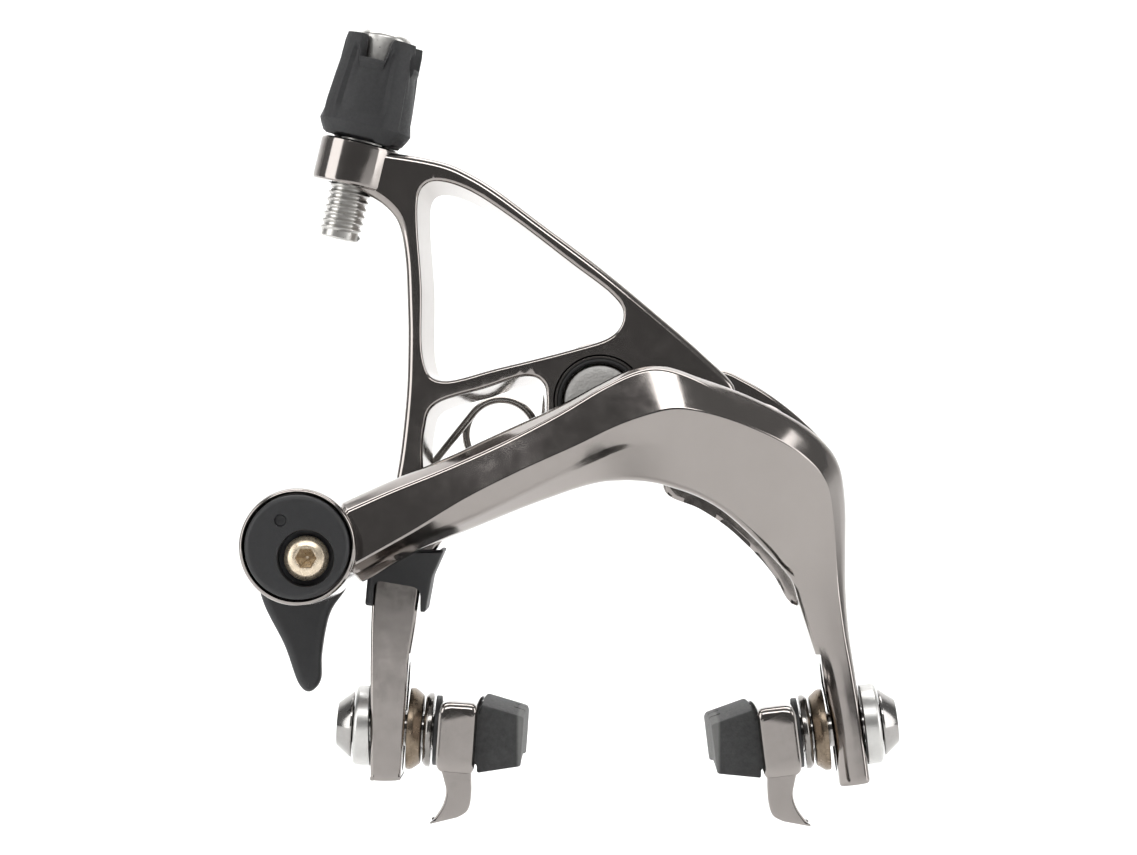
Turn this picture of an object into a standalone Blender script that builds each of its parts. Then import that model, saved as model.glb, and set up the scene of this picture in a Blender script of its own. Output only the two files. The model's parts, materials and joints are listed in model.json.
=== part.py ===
"""Dual-pivot rim brake caliper for a road bicycle, shown as seen by someone standing in front of the bicycle.

Frame: the origin is on the centre bolt's axis, at the seat face that meets the fork crown. +Y points back
to the fork, +Z up, +X to the right. Sizes are millimetres, turned into metres by MM as each mesh is made.
"""

from math import cos, pi, radians, sin, tan

import bmesh
import bpy
from mathutils import Matrix, Vector

MM = 0.001
GAP = 0.3  # between pieces that touch on the real brake

# Driving dimensions
REACH = 45.6  # centre bolt down to the pad bolts
ARM_FRONT, ARM_REAR = -22.0, -12.0  # front and rear faces of both legs and of the Y arm
HUB_REAR = -9.9  # rear faces of both pivots' hubs
BEAM_REAR = -24.0  # rear face of the C arm where it crosses in front of the Y arm
BRACKET_FRONT, BRACKET_REAR = -8.5, -3.3
STUD_LENGTH = 27.0
STUD_RADIUS, SHAFT_RADIUS, HEAD_RADIUS = 3.0, 4.0, 5.0
HUB_RADIUS, BUSH_RADIUS, SEAL_RADIUS = 7.2, 5.2, 6.0
SIDE_PIVOT = (21.0, -6.5)  # X and Z of the C arm's pivot
SIDE_PIN_RADIUS = 3.2
PAD_AXIS_Y = (ARM_FRONT + ARM_REAR) / 2
LEVER_CENTRE = (-40.9, -19.8)  # X and Z of the quick-release cam
ANCHOR_OFFSET = (1.2, -1.5)  # cable anchor bolt from the cam's centre
BARREL_FOOT = (-36.3, -18.0, 23.8)  # a point on the barrel adjuster's axis
BARREL_LEAN = radians(13.4)
BARREL_BOSS_RADIUS = 5.6
LEVER_BOSS_FRONT, LEVER_BOSS_REAR = -37.4, -25.4
SIDE_HUB_RADIUS, SIDE_HUB_FRONT = 6.4, -27.4
WALL_FRONT, WALL_REAR = -13.8, HUB_REAR - 0.4  # the C arm's rear wall
CENTRING_SCREW = (11.2, -19.0)  # X and Y; midway between the pivots, where both arms move alike
SPRING_CENTRE = (-14.0, -4.7)
SPRING_WIRE, SPRING_RADIUS = 0.55, 5.0  # radii of the wire and of the coil's centreline
SPRING_FRONT, SPRING_REAR = -11.2, -9.2  # Y of the long and the short leg
SPRING_LEAVE = radians(140.5)  # where round the coil the long leg leaves it
LEFT_LEG_OUTSIDE = -31.9
LEFT_PAD = {"side": -1, "x": -29.45, "tilt": radians(4.0), "seat": 2.2}
RIGHT_PAD = {"side": 1, "x": 34.3, "tilt": radians(7.0), "seat": 2.35}
SHOE_RADIUS = 311.0  # a 700C rim's brake track
SHOE_LIFT = 1.0  # the shoe's middle above the pad bolt
SHOE_PITCH = radians(2.5)  # front end raised
SHOE_HALF = 26.0
PAD_FACE = 19.0  # the pad's braking face from the leg's middle

NICKEL = ((0.20, 0.19, 0.185, 1), 0.18, 1.0)
STEEL = ((0.55, 0.55, 0.54, 1), 0.3, 1.0)
GOLD = ((0.62, 0.5, 0.33, 1), 0.3, 1.0)
BRONZE = ((0.2, 0.16, 0.12, 1), 0.35, 1.0)
BLACK = ((0.02, 0.02, 0.022, 1), 0.5, 0.0)
RUBBER = ((0.025, 0.025, 0.025, 1), 0.8, 0.0)
SPRING_STEEL = ((0.12, 0.11, 0.1, 1), 0.35, 1.0)


def material(obj, finish):
    """Gives the piece a material of its own from (colour, roughness, metallic)."""
    colour, roughness, metallic = finish
    made = bpy.data.materials.new(obj.name)
    made.use_nodes = True
    shader = made.node_tree.nodes["Principled BSDF"]
    shader.inputs["Base Color"].default_value = colour
    shader.inputs["Roughness"].default_value = roughness
    shader.inputs["Metallic"].default_value = metallic
    obj.data.materials.append(made)


def axis_empty(name, place, turn=0.0):
    """An empty on a joint's axis, turned about Y."""
    empty = bpy.data.objects.new(name, None)
    empty.location = Vector(place) * MM
    empty.rotation_euler = (0.0, turn, 0.0)
    bpy.context.scene.collection.objects.link(empty)
    return empty


def piece(name, bm, parent=None, finish=None, crease=35.0):
    """Turns a bmesh in millimetres into a named object in metres, under its joint's empty."""
    bmesh.ops.scale(bm, vec=(MM, MM, MM), verts=bm.verts)
    bmesh.ops.recalc_face_normals(bm, faces=bm.faces)
    mesh = bpy.data.meshes.new(name)
    bm.to_mesh(mesh)
    bm.free()
    obj = bpy.data.objects.new(name, mesh)
    bpy.context.scene.collection.objects.link(obj)
    obj.parent = parent
    mesh.shade_smooth()
    mesh.set_sharp_from_angle(angle=radians(crease))
    if finish:
        material(obj, finish)
    else:
        obj.hide_render = True
        obj.display_type = "WIRE"
    return obj


def combine(obj, operation, *others):
    for other in others:
        cut = obj.modifiers.new(other.name, "BOOLEAN")
        cut.operation = operation
        cut.object = other


def loft(loops):
    """A closed skin through loops of the same number of points, capped at both ends."""
    bm = bmesh.new()
    rows = [[bm.verts.new(point) for point in loop] for loop in loops]
    count = len(rows[0])
    for row, after in zip(rows, rows[1:]):
        for i in range(count):
            j = (i + 1) % count
            bm.faces.new((row[i], row[j], after[j], after[i]))
    bm.faces.new(rows[0])
    bm.faces.new(rows[-1])
    return bm


def turned(profile, segments=32, centre=(0.0, 0.0), axis="Y"):
    """Spins a closed (radius, distance along the axis) profile about the Y, X or Z axis."""
    bm = bmesh.new()
    places = {
        "Y": lambda r, d: (centre[0] + r, d, centre[1]),
        "X": lambda r, d: (d, centre[0] + r, centre[1]),
        "Z": lambda r, d: (centre[0] + r, centre[1], d),
    }
    middles = {
        "Y": (centre[0], 0.0, centre[1]),
        "X": (0.0, centre[0], centre[1]),
        "Z": (centre[0], centre[1], 0.0),
    }
    along = {"X": (1, 0, 0), "Y": (0, 1, 0), "Z": (0, 0, 1)}[axis]
    points = [bm.verts.new(places[axis](r, d)) for r, d in profile]
    edges = [bm.edges.new(pair) for pair in zip(points, points[1:] + points[:1])]
    if profile[0][0] == 0.0 and profile[-1][0] == 0.0:
        bm.edges.remove(edges.pop())
    bmesh.ops.spin(
        bm,
        geom=points + edges,
        cent=middles[axis],
        axis=along,
        angle=2 * pi,
        steps=segments,
        use_merge=True,
    )
    bmesh.ops.remove_doubles(bm, verts=bm.verts, dist=1e-4)
    return bm


def tube(inner, outer, near, far):
    """The profile of a plain ring or tube."""
    return [(inner, near), (outer, near), (outer, far), (inner, far)]


def ring(inner, outer, near, far, chamfer=0.2):
    """The profile of a washer with broken outer edges."""
    return [
        (inner, near),
        (outer - chamfer, near),
        (outer, near + chamfer),
        (outer, far - chamfer),
        (outer - chamfer, far),
        (inner, far),
    ]


def rod(radius, near, far, chamfer=0.2):
    """The profile of a solid round bar with broken edges."""
    return [
        (0.0, near),
        (radius - chamfer, near),
        (radius, near + chamfer),
        (radius, far - chamfer),
        (radius - chamfer, far),
        (0.0, far),
    ]


def curve_through(points, each=3, closed=True):
    """Points on the smooth Catmull-Rom curve through the given ones."""
    count = len(points)
    spans = count if closed else count - 1
    found = []
    for i in range(spans):
        near = [(i + k) % count if closed else min(max(i + k, 0), count - 1) for k in (-1, 0, 1, 2)]
        a, b, c, d = (Vector(points[k]) for k in near)
        for step in range(each):
            t = step / each
            bend = (2 * a - 5 * b + 4 * c - d) * t**2 + (3 * b - a - 3 * c + d) * t**3
            found.append((2 * b + (c - a) * t + bend) / 2)
    if not closed:
        found.append(Vector(points[-1]))
    return found


def offset(outline, distance):
    """The outline moved inwards by a distance; the outline runs clockwise as seen from the front."""
    moved = []
    count = len(outline)
    for i, here in enumerate(outline):
        before = (here - outline[i - 1]).normalized()
        after = (outline[(i + 1) % count] - here).normalized()
        inward = Vector((before.y + after.y, -before.x - after.x)).normalized()
        stretch = max(inward.dot(Vector((before.y, -before.x))), 0.5)
        moved.append(here + inward * distance / stretch)
    return moved


def plate(outline, layers, slant=(0.0, 0.0)):
    """A skin through one outline at several depths, each (Y, inward distance); slant shifts the last."""
    loops = [[(p.x, y, p.y) for p in offset(outline, inward)] for y, inward in layers]
    loops[-1] = [(x + slant[0], y, z + slant[1]) for x, y, z in loops[-1]]
    return loft(loops)


def box(low, high):
    bm = bmesh.new()
    bmesh.ops.create_cube(bm, size=1.0)
    size = Vector(high) - Vector(low)
    bmesh.ops.scale(bm, vec=size, verts=bm.verts)
    bmesh.ops.translate(bm, vec=(Vector(high) + Vector(low)) / 2, verts=bm.verts)
    return bm


def hexagon(across_flats, near, far, centre=(0.0, 0.0)):
    """A six-sided bar along Y."""
    radius = across_flats / 2 / cos(pi / 6)
    angles = [k * pi / 3 for k in range(6)]
    corners = [(centre[0] + radius * cos(angle), centre[1] + radius * sin(angle)) for angle in angles]
    return loft([[(x, y, z) for x, z in corners] for y in (near, far)])


def make_y_arm(axis, barrel):
    """The rear arm: barrel boss top left, hub on the centre bolt, left leg with its slot for the pad bolt."""
    outline = curve_through(
        [
            (-31.6, -52.7), (LEFT_LEG_OUTSIDE, -51.8), (LEFT_LEG_OUTSIDE, -45.0), (LEFT_LEG_OUTSIDE, -35.0),
            (-31.6, -27.0), (-30.4, -20.0), (-28.2, -10.0), (-27.0, 0.0), (-26.7, 8.0), (-26.8, 14.0),
            (-27.1, 20.0), (-28.0, 24.6), (-30.0, 27.2), (-33.0, 29.2), (-35.6, 31.4), (-34.8, 34.9),
            (-28.6, 34.5), (-22.0, 33.3), (-18.0, 31.6), (-14.0, 29.1), (-8.0, 24.6), (0.0, 18.6),
            (8.0, 12.0), (14.0, 6.8), (18.6, 2.2), (17.6, 0.2), (13.6, -1.2), (9.0, -1.2), (6.6, -3.2),
            (2.4, -6.8), (-3.0, -7.4), (-10.0, -11.6), (-17.0, -15.6), (-21.8, -19.3), (-24.4, -24.0),
            (-25.2, -27.6), (-25.6, -30.8), (-26.1, -33.8), (-26.6, -37.0), (-26.7, -40.2), (-27.1, -45.6),
            (-27.5, -51.8), (-28.0, -52.7),
        ],
        2,
    )
    round_edge = 0.6
    layers = [
        (ARM_FRONT, round_edge), (ARM_FRONT + round_edge, 0.0),
        (ARM_REAR - round_edge, 0.0), (ARM_REAR, round_edge),
    ]
    arm = piece("y_arm", plate(outline, layers), axis, NICKEL)
    boss_rod = turned(rod(BARREL_BOSS_RADIUS, 6.4, 12.6, 0.5), 32, axis="Z")
    boss = piece("barrel_boss_shape", boss_rod, barrel)
    hub = piece("hub_shape", turned(rod(HUB_RADIUS, ARM_FRONT + 1.0, HUB_REAR, 0.3)), axis)
    combine(arm, "UNION", boss, hub)
    big = curve_through(
        [
            (-24.6, 6.0), (-24.8, 16.0), (-25.4, 25.0), (-25.0, 29.2), (-22.6, 30.6), (-18.0, 29.2),
            (-12.0, 25.3), (-4.0, 19.2), (1.6, 14.9), (3.3, 12.0), (1.6, 9.0), (-4.0, 7.1), (-14.0, 4.6),
            (-22.0, 2.8),
        ],
        3,
    )
    small = curve_through(
        [
            (-24.6, -9.0), (-24.4, -4.0), (-22.8, -0.4), (-16.0, 1.8), (-10.4, 3.5), (-7.8, 2.4),
            (-7.4, -1.0), (-8.0, -6.0), (-13.0, -9.6), (-21.0, -13.6), (-24.0, -12.6),
        ],
        3,
    )
    depths = [(ARM_FRONT - 1.0, -0.9), (ARM_FRONT + 0.4, 0.1), (ARM_REAR + 1.0, 0.8)]
    slants = ((0.7, -0.7), (0.3, -0.5))  # the left and upper walls of the windows lean in
    windows = [
        piece("window_cut_%d" % k, plate(edge, depths, slant), axis)
        for k, (edge, slant) in enumerate(zip((big, small), slants))
    ]
    front, rear, step = ARM_FRONT - 1.0, HUB_REAR + 1.0, -18.9
    bore = [
        (0, front), (SEAL_RADIUS + GAP, front), (SEAL_RADIUS + GAP, step),
        (BUSH_RADIUS + GAP, step), (BUSH_RADIUS + GAP, rear), (0, rear),
    ]
    hub_bore = piece("hub_bore_cut", turned(bore), axis)
    barrel_bore = piece("barrel_bore_cut", turned(rod(3.3, 3.0, 16.0), 24, axis="Z"), barrel)
    nose_relief = piece("nose_relief_cut", box((8.6, -14.2, -6.0), (24.0, ARM_REAR + 1.0, 20.0)), axis)
    combine(arm, "DIFFERENCE", *windows, hub_bore, barrel_bore, nose_relief)
    combine(arm, "DIFFERENCE", slot_cut(LEFT_PAD), seat_cut(LEFT_PAD))
    return arm


def pad_frame(pad):
    """Joint frame of a pad: local +X runs out along the pad bolt, local Z along the slot."""
    outward = pad["tilt"] if pad["side"] < 0 else -pad["tilt"]
    return Matrix.Translation(Vector((pad["x"], PAD_AXIS_Y, -REACH))) @ Matrix.Rotation(outward, 4, "Y")


def slot_cut(pad):
    """The cutter of a leg's slot: 39 to 49 mm of reach for a 5 mm bolt."""
    half, top, bottom = 3.0, 6.4, -3.0
    corners = [Vector((half * cos(a), top + half * sin(a))) for a in (k * pi / 8 for k in range(9))]
    corners += [Vector((half * cos(a), bottom + half * sin(a))) for a in (pi + k * pi / 8 for k in range(9))]
    bm = loft([[(x, p.x, p.y) for p in corners] for x in (-6.0, 6.0)])
    bmesh.ops.transform(bm, matrix=pad_frame(pad), verts=bm.verts)
    return piece("slot_cut_%s" % ("left" if pad["side"] < 0 else "right"), bm)


def seat_cut(pad):
    """The cutter of the flat down a leg's inner side, on which the pad's cup slides."""
    side = pad["side"]
    near, far = pad["seat"], 8.0
    bm = box((min(-side * near, -side * far), -6.4, -12.0), (max(-side * near, -side * far), 6.4, 10.8))
    bmesh.ops.transform(bm, matrix=pad_frame(pad), verts=bm.verts)
    return piece("seat_cut_%s" % ("left" if side < 0 else "right"), bm)


# Stations of the C arm from the cable end to the foot of the right leg. Each gives the outer edge, the upper
# crease, the lower crease, the lower face's middle and the inner edge as (X, Z), then the rear face's Y.
C_ARM_STATIONS = [
    ((-37.6, -15.0), (-37.0, -16.2), (-33.6, -22.4), (-33.0, -23.6), (-32.4, -24.8), -24),
    ((-29.6, -11.3), (-29.1, -12.6), (-25.8, -18.0), (-25.2, -19.4), (-24.8, -20.6), -24),
    ((-21.7, -8.0), (-21.3, -9.4), (-18.3, -13.4), (-17.4, -16.0), (-16.9, -17.3), -24),
    ((-13.9, -4.4), (-13.5, -5.9), (-10.6, -9.5), (-9.8, -12.3), (-9.2, -14.2), -24),
    ((-6.0, -0.8), (-5.6, -1.8), (-3.4, -6.3), (-2.4, -8.7), (-1.6, -11.6), -24),
    ((0.0, 2.4), (0.3, 1.7), (2.0, -3.7), (2.6, -6.5), (2.8, -11.0), -24),
    ((5.0, 4.6), (5.1, 3.9), (6.3, -2.1), (6.8, -5.5), (6.8, -11.2), -24),
    ((9.0, 4.8), (9.0, 4.2), (10.2, -1.2), (10.6, -5.5), (10.2, -12.0), -24),
    ((14.0, 3.1), (14.0, 2.4), (14.0, -1.6), (13.6, -6.3), (13.5, -13.2), -24),
    ((20.0, 0.9), (19.6, -0.8), (18.6, -2.9), (17.2, -7.8), (16.7, -15.0), -23),
    ((26.3, -2.2), (25.4, -3.6), (24.0, -5.2), (21.2, -10.2), (19.6, -17.4), -21),
    ((30.6, -5.3), (29.6, -6.5), (28.0, -7.7), (24.4, -13.4), (22.0, -19.7), -13.8),
    ((33.2, -8.8), (32.0, -9.6), (30.9, -10.8), (27.0, -16.4), (24.2, -22.0), -12),
    ((34.2, -14.0), (33.2, -14.3), (32.0, -14.9), (28.6, -19.4), (25.8, -23.8), -12),
    ((34.3, -20.0), (33.5, -20.2), (32.6, -20.6), (29.6, -22.8), (26.8, -25.4), -12),
    ((34.3, -26.0), (33.8, -26.2), (33.1, -26.4), (30.3, -27.0), (27.6, -28.0), -12),
    ((34.7, -32.0), (34.3, -32.1), (33.9, -32.2), (31.6, -32.5), (29.2, -33.0), -12),
    ((35.5, -37.6), (35.2, -37.7), (34.9, -37.8), (33.0, -38.0), (30.9, -38.4), -12),
    ((36.6, -45.0), (36.4, -45.1), (36.1, -45.2), (34.3, -45.5), (32.4, -45.8), -12),
    ((37.6, -52.4), (37.4, -52.5), (37.1, -52.6), (35.2, -52.9), (33.3, -53.1), -12),
]
# Y of the same five edges at every station.
C_ARM_DEPTHS = [
    (-31.0, -32.6, -34.0, -32.5, -29.0),
    (-30.0, -32.6, -34.0, -32.5, -29.0),
    (-30.0, -32.8, -34.2, -32.4, -29.0),
    (-30.0, -33.0, -34.4, -32.4, -28.5),
    (-30.5, -33.2, -34.5, -32.4, -28.0),
    (-31.0, -33.2, -34.6, -32.4, -28.0),
    (-31.0, -33.0, -34.6, -32.4, -28.0),
    (-31.0, -32.6, -34.4, -32.2, -28.0),
    (-30.5, -32.0, -34.0, -31.6, -27.6),
    (-29.5, -31.0, -33.0, -30.5, -27.0),
    (-28.0, -29.5, -31.4, -29.0, -26.0),
    (-26.0, -27.6, -29.6, -27.6, -25.0),
    (-23.5, -25.4, -27.2, -26.0, -24.0),
    (-21.0, -23.0, -25.0, -24.4, -23.0),
    (-20.4, -22.0, -23.4, -23.4, -22.6),
    (-20.4, -21.6, -22.6, -22.8, -22.2),
    (-20.6, -21.6, -22.2, -22.4, -21.8),
    (-20.8, -21.6, -22.0, -22.2, -21.6),
    (-20.8, -21.6, -22.0, -22.2, -21.6),
    (-20.8, -21.6, -22.0, -22.2, -21.6),
]


def make_c_arm_skin():
    """The arm's main skin: five front edges and two rear edges at every station, curved between stations."""
    stations = zip(C_ARM_STATIONS, C_ARM_DEPTHS)
    columns = [[(x, y, z) for (x, z), y in zip(row[:5], depths)] for row, depths in stations]
    for loop, row in zip(columns, C_ARM_STATIONS):
        (outer_x, outer_z), (inner_x, inner_z), rear = row[0], row[4], row[5]
        loop.append((inner_x, rear, inner_z))
        loop.append((outer_x, rear, outer_z - 0.3))
    tracks = [curve_through(list(track), 2, closed=False) for track in zip(*columns)]
    return loft([list(loop) for loop in zip(*tracks)])


def make_c_arm(axis, lever):
    """The front arm: cable end and quick-release bore on the left, side pivot hub, right leg."""
    arm = piece("c_arm", make_c_arm_skin(), None, NICKEL)
    front, rear = LEVER_BOSS_FRONT, LEVER_BOSS_REAR
    boss_profile = [(0, front), (7.6, front), (7.9, front + 0.4), (8.4, rear), (0, rear)]
    boss = piece("lever_boss_shape", turned(boss_profile, 36), lever)
    wall_edge = curve_through(
        [
            (9.2, -12.8), (9.4, -8.0), (11.0, -2.0), (13.4, 2.6), (17.0, 4.4), (20.4, 3.1), (24.5, 0.6),
            (28.6, -2.7), (32.2, -6.6), (33.8, -11.0), (34.1, -18.0), (34.1, -26.0), (27.7, -28.8),
            (24.6, -24.6), (22.2, -21.7), (18.2, -17.9), (14.0, -15.1),
        ],
        2,
    )
    wall_layers = [(WALL_FRONT, 0.3), (WALL_FRONT + 0.3, 0.0), (WALL_REAR - 0.3, 0.0), (WALL_REAR, 0.3)]
    wall = piece("rear_wall_shape", plate(wall_edge, wall_layers))
    hub = piece("side_hub_shape", turned(rod(SIDE_HUB_RADIUS, SIDE_HUB_FRONT, HUB_REAR, 0.2), 32, SIDE_PIVOT))
    lug = piece("centring_lug_shape", box((8.7, -26.6, -9.1), (17.3, -14.3, -4.7)))
    combine(arm, "UNION", wall, hub, lug, boss)
    bore = piece("side_bore_cut", turned(rod(SIDE_PIN_RADIUS + GAP, -26.5, HUB_REAR + 1), 28, SIDE_PIVOT))
    screw_place = (CENTRING_SCREW[0], CENTRING_SCREW[1])
    screw_bore = piece("centring_bore_cut", turned(rod(2.2, -11.0, -3.0), 20, screw_place, "Z"))
    recess = turned([(0, -39), (7.4, -39), (7.4, -33.7), (5.5, -33.7), (5.5, -22), (0, -22)], 40)
    recess_cut = piece("lever_recess_cut", recess, lever)
    combine(arm, "DIFFERENCE", bore, screw_bore, recess_cut, slot_cut(RIGHT_PAD), seat_cut(RIGHT_PAD))
    arm.parent = axis
    arm.matrix_parent_inverse = Matrix.Translation(-axis.location)
    return arm


def make_centre_bolt():
    head_front, head_rear = -21.3, -19.2
    profile = [
        (0, head_front), (HEAD_RADIUS - 0.4, head_front), (HEAD_RADIUS, head_front + 0.4),
        (HEAD_RADIUS, head_rear), (SHAFT_RADIUS, head_rear), (SHAFT_RADIUS, BRACKET_REAR),
        (STUD_RADIUS, BRACKET_REAR + 0.6), (STUD_RADIUS, STUD_LENGTH - 0.8),
        (STUD_RADIUS - 0.8, STUD_LENGTH), (0, STUD_LENGTH),
    ]
    piece("centre_bolt", turned(profile), None, STEEL)


def make_bracket():
    """The plate behind both arms, fixed on the centre bolt, with the side pivot and the spring's foot."""
    outline = curve_through(
        [
            (-7.0, 4.6), (-2.0, 8.2), (4.0, 7.4), (12.0, 3.4), (20.0, 0.6), (26.0, -1.8), (28.0, -7.0),
            (24.6, -12.4), (18.0, -13.0), (10.0, -10.0), (2.0, -8.6), (-4.4, -8.6), (-8.0, -7.0),
            (-8.4, -2.0),
        ],
        3,
    )
    chamfer = 0.4
    layers = [
        (BRACKET_FRONT, chamfer), (BRACKET_FRONT + chamfer, 0.0),
        (BRACKET_REAR - chamfer, 0.0), (BRACKET_REAR, chamfer),
    ]
    bracket = piece("pivot_bracket", plate(outline, layers), None, NICKEL)
    centre_cut = turned(rod(SHAFT_RADIUS + GAP, BRACKET_FRONT - 1, BRACKET_REAR + 1), 28)
    side_cut = turned(rod(4.6, BRACKET_FRONT - 1, BRACKET_REAR + 1), 28, SIDE_PIVOT)
    lug = piece("spring_lug_shape", box((-6.6, -11.0, -9.0), (-2.6, -6.0, -7.7)))
    bolt_hole = piece("bracket_centre_cut", centre_cut)
    bush_hole = piece("bracket_side_cut", side_cut)
    combine(bracket, "UNION", lug)
    combine(bracket, "DIFFERENCE", bolt_hole, bush_hole)


def make_pivot_rings(y_axis, c_axis):
    """Bushes, thrust washers, seal, pin and circlip of the two pivots, and the seat washer at the fork."""
    piece("seat_washer", turned(ring(SHAFT_RADIUS + 0.4, 7.5, BRACKET_REAR + GAP, 0.0)), None, STEEL)
    thrust = (HUB_REAR + GAP, BRACKET_FRONT - GAP)
    piece("centre_thrust_washer", turned(tube(SHAFT_RADIUS + GAP, 6.6, *thrust), 28), None, STEEL)
    piece("centre_bush", turned(tube(SHAFT_RADIUS + GAP, BUSH_RADIUS, -18.6, HUB_REAR), 28), y_axis, BRONZE)
    seal = ring(HEAD_RADIUS + GAP, SEAL_RADIUS, -21.6, -19.2)
    piece("centre_seal_ring", turned(seal), y_axis, RUBBER)
    side_thrust = tube(SIDE_PIN_RADIUS + GAP, 6.0, *thrust)
    piece("side_thrust_washer", turned(side_thrust, 24, SIDE_PIVOT), None, STEEL)
    bush = tube(SIDE_PIN_RADIUS + GAP, 4.3, BRACKET_FRONT, BRACKET_REAR)
    piece("side_pivot_bush", turned(bush, 24, SIDE_PIVOT), None, BRONZE)
    clip = (-3.0, -2.2)
    neck = SIDE_PIN_RADIUS - 0.7
    pin = [
        (0, -26.2), (SIDE_PIN_RADIUS, -26.2), (SIDE_PIN_RADIUS, clip[0] - GAP), (neck, clip[0] - GAP),
        (neck, clip[1] + GAP), (SIDE_PIN_RADIUS, clip[1] + GAP), (SIDE_PIN_RADIUS, -1.2), (0, -1.2),
    ]
    place = axis_relative(turned(pin, 28, SIDE_PIVOT), c_axis)
    piece("side_pivot_pin", place, c_axis, STEEL)
    place = axis_relative(turned(tube(neck + GAP, 4.8, *clip), 24, SIDE_PIVOT), c_axis)
    circlip = piece("side_pivot_circlip", place, c_axis, SPRING_STEEL)
    mouth = box((-1.6, -4.0, -6.0), (1.6, -1.0, -2.0))
    combine(circlip, "DIFFERENCE", piece("circlip_mouth_cut", mouth, c_axis))


def axis_relative(bm, axis):
    """Moves a bmesh made at its place on the brake to the frame of its joint's empty."""
    bmesh.ops.translate(bm, vec=-axis.location / MM, verts=bm.verts)
    return bm


def make_quick_release(lever):
    """Cam with its front disc, lever, friction ring, and the cable's anchor bolt, washer and nut."""
    cam_profile = [
        (0, -38.2), (6.7, -38.2), (7.1, -37.8), (7.1, -34.6), (5.2, -34.6), (5.2, -19.9), (0, -19.9),
    ]
    cam = piece("quick_release_cam", turned(cam_profile, 40), lever, BLACK)
    anchor_cut = [(0, -40), (3.8, -40), (3.8, -35.4), (2.5, -35.4), (2.5, -19), (0, -19)]
    combine(cam, "DIFFERENCE", piece("anchor_bore_cut", turned(anchor_cut, 28, ANCHOR_OFFSET), lever))
    piece("quick_release_friction_ring", turned(tube(5.5, 7.0, -34.3, -34.0), 28), lever, STEEL)
    outline = curve_through(
        [
            (-4.6, 5.0), (0.0, 6.8), (4.6, 5.0), (6.7, 0.0), (6.0, -5.4), (3.4, -9.6), (2.3, -15.0),
            (2.1, -18.9), (0.6, -20.5), (-1.0, -19.2), (-2.9, -14.0), (-6.0, -7.6), (-6.9, -1.0),
        ],
        3,
    )
    lever_layers = [(-23.7, 0.6), (-23.1, 0), (-20.6, 0), (-20.2, 0.4)]
    lever_piece = piece("quick_release_lever", plate(outline, lever_layers), lever, BLACK)
    combine(lever_piece, "DIFFERENCE", piece("lever_bore_cut", turned(rod(5.5, -26, -19), 32), lever))
    bolt = [(0, -37.9), (2.2, -37.9), (3.05, -37.0), (3.05, -35.7), (2.1, -35.7), (2.1, -14.0), (0, -14.0)]
    anchor = piece("cable_anchor_bolt", turned(bolt, 24, ANCHOR_OFFSET), lever, GOLD)
    combine(anchor, "DIFFERENCE", piece("anchor_socket_cut", hexagon(2.5, -39, -36.4, ANCHOR_OFFSET), lever))
    washer = turned(ring(2.4, 5.0, -19.6, -18.5), 20, ANCHOR_OFFSET)
    piece("cable_clamp_washer", washer, lever, STEEL)
    nut = piece("cable_anchor_nut", hexagon(8.0, -18.2, -14.6, ANCHOR_OFFSET), lever, STEEL)
    combine(nut, "DIFFERENCE", piece("nut_bore_cut", turned(rod(2.4, -20, -13), 24, ANCHOR_OFFSET), lever))


def make_barrel_adjuster(barrel):
    """Threaded stem through the boss, the finger knob round it and the spring that seats the knob."""
    stem = [
        (1.3, -1.1), (2.4, -1.1), (2.9, -0.6), (2.9, 19.0), (3.6, 19.4), (3.6, 27.6), (3.0, 28.3),
        (1.6, 28.3), (1.3, 26.0),
    ]
    piece("barrel_stem", turned(stem, 24, axis="Z"), barrel, STEEL)
    body = [
        (3.5, 12.9), (5.6, 12.9), (6.5, 15.0), (6.6, 17.0), (6.4, 20.0), (5.9, 24.0), (5.5, 27.4),
        (3.9, 27.4), (3.9, 19.0), (5.0, 18.6), (5.0, 14.0), (3.5, 14.0),
    ]
    knob = piece("barrel_knob", turned(body, 32, axis="Z"), barrel, BLACK)
    for k in range(4):
        notch = box((-1.6, 2.0, 25.0), (1.6, 8.0, 29.0))
        turn = Matrix.Rotation(k * pi / 2 + pi - radians(9), 3, "Z")
        bmesh.ops.rotate(notch, matrix=turn, verts=notch.verts)
        combine(knob, "DIFFERENCE", piece("knob_notch_cut_%d" % k, notch, barrel))
    piece("barrel_spring", turned(tube(3.4, 4.6, 14.4, 18.2), 20, axis="Z"), barrel, SPRING_STEEL)


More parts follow.
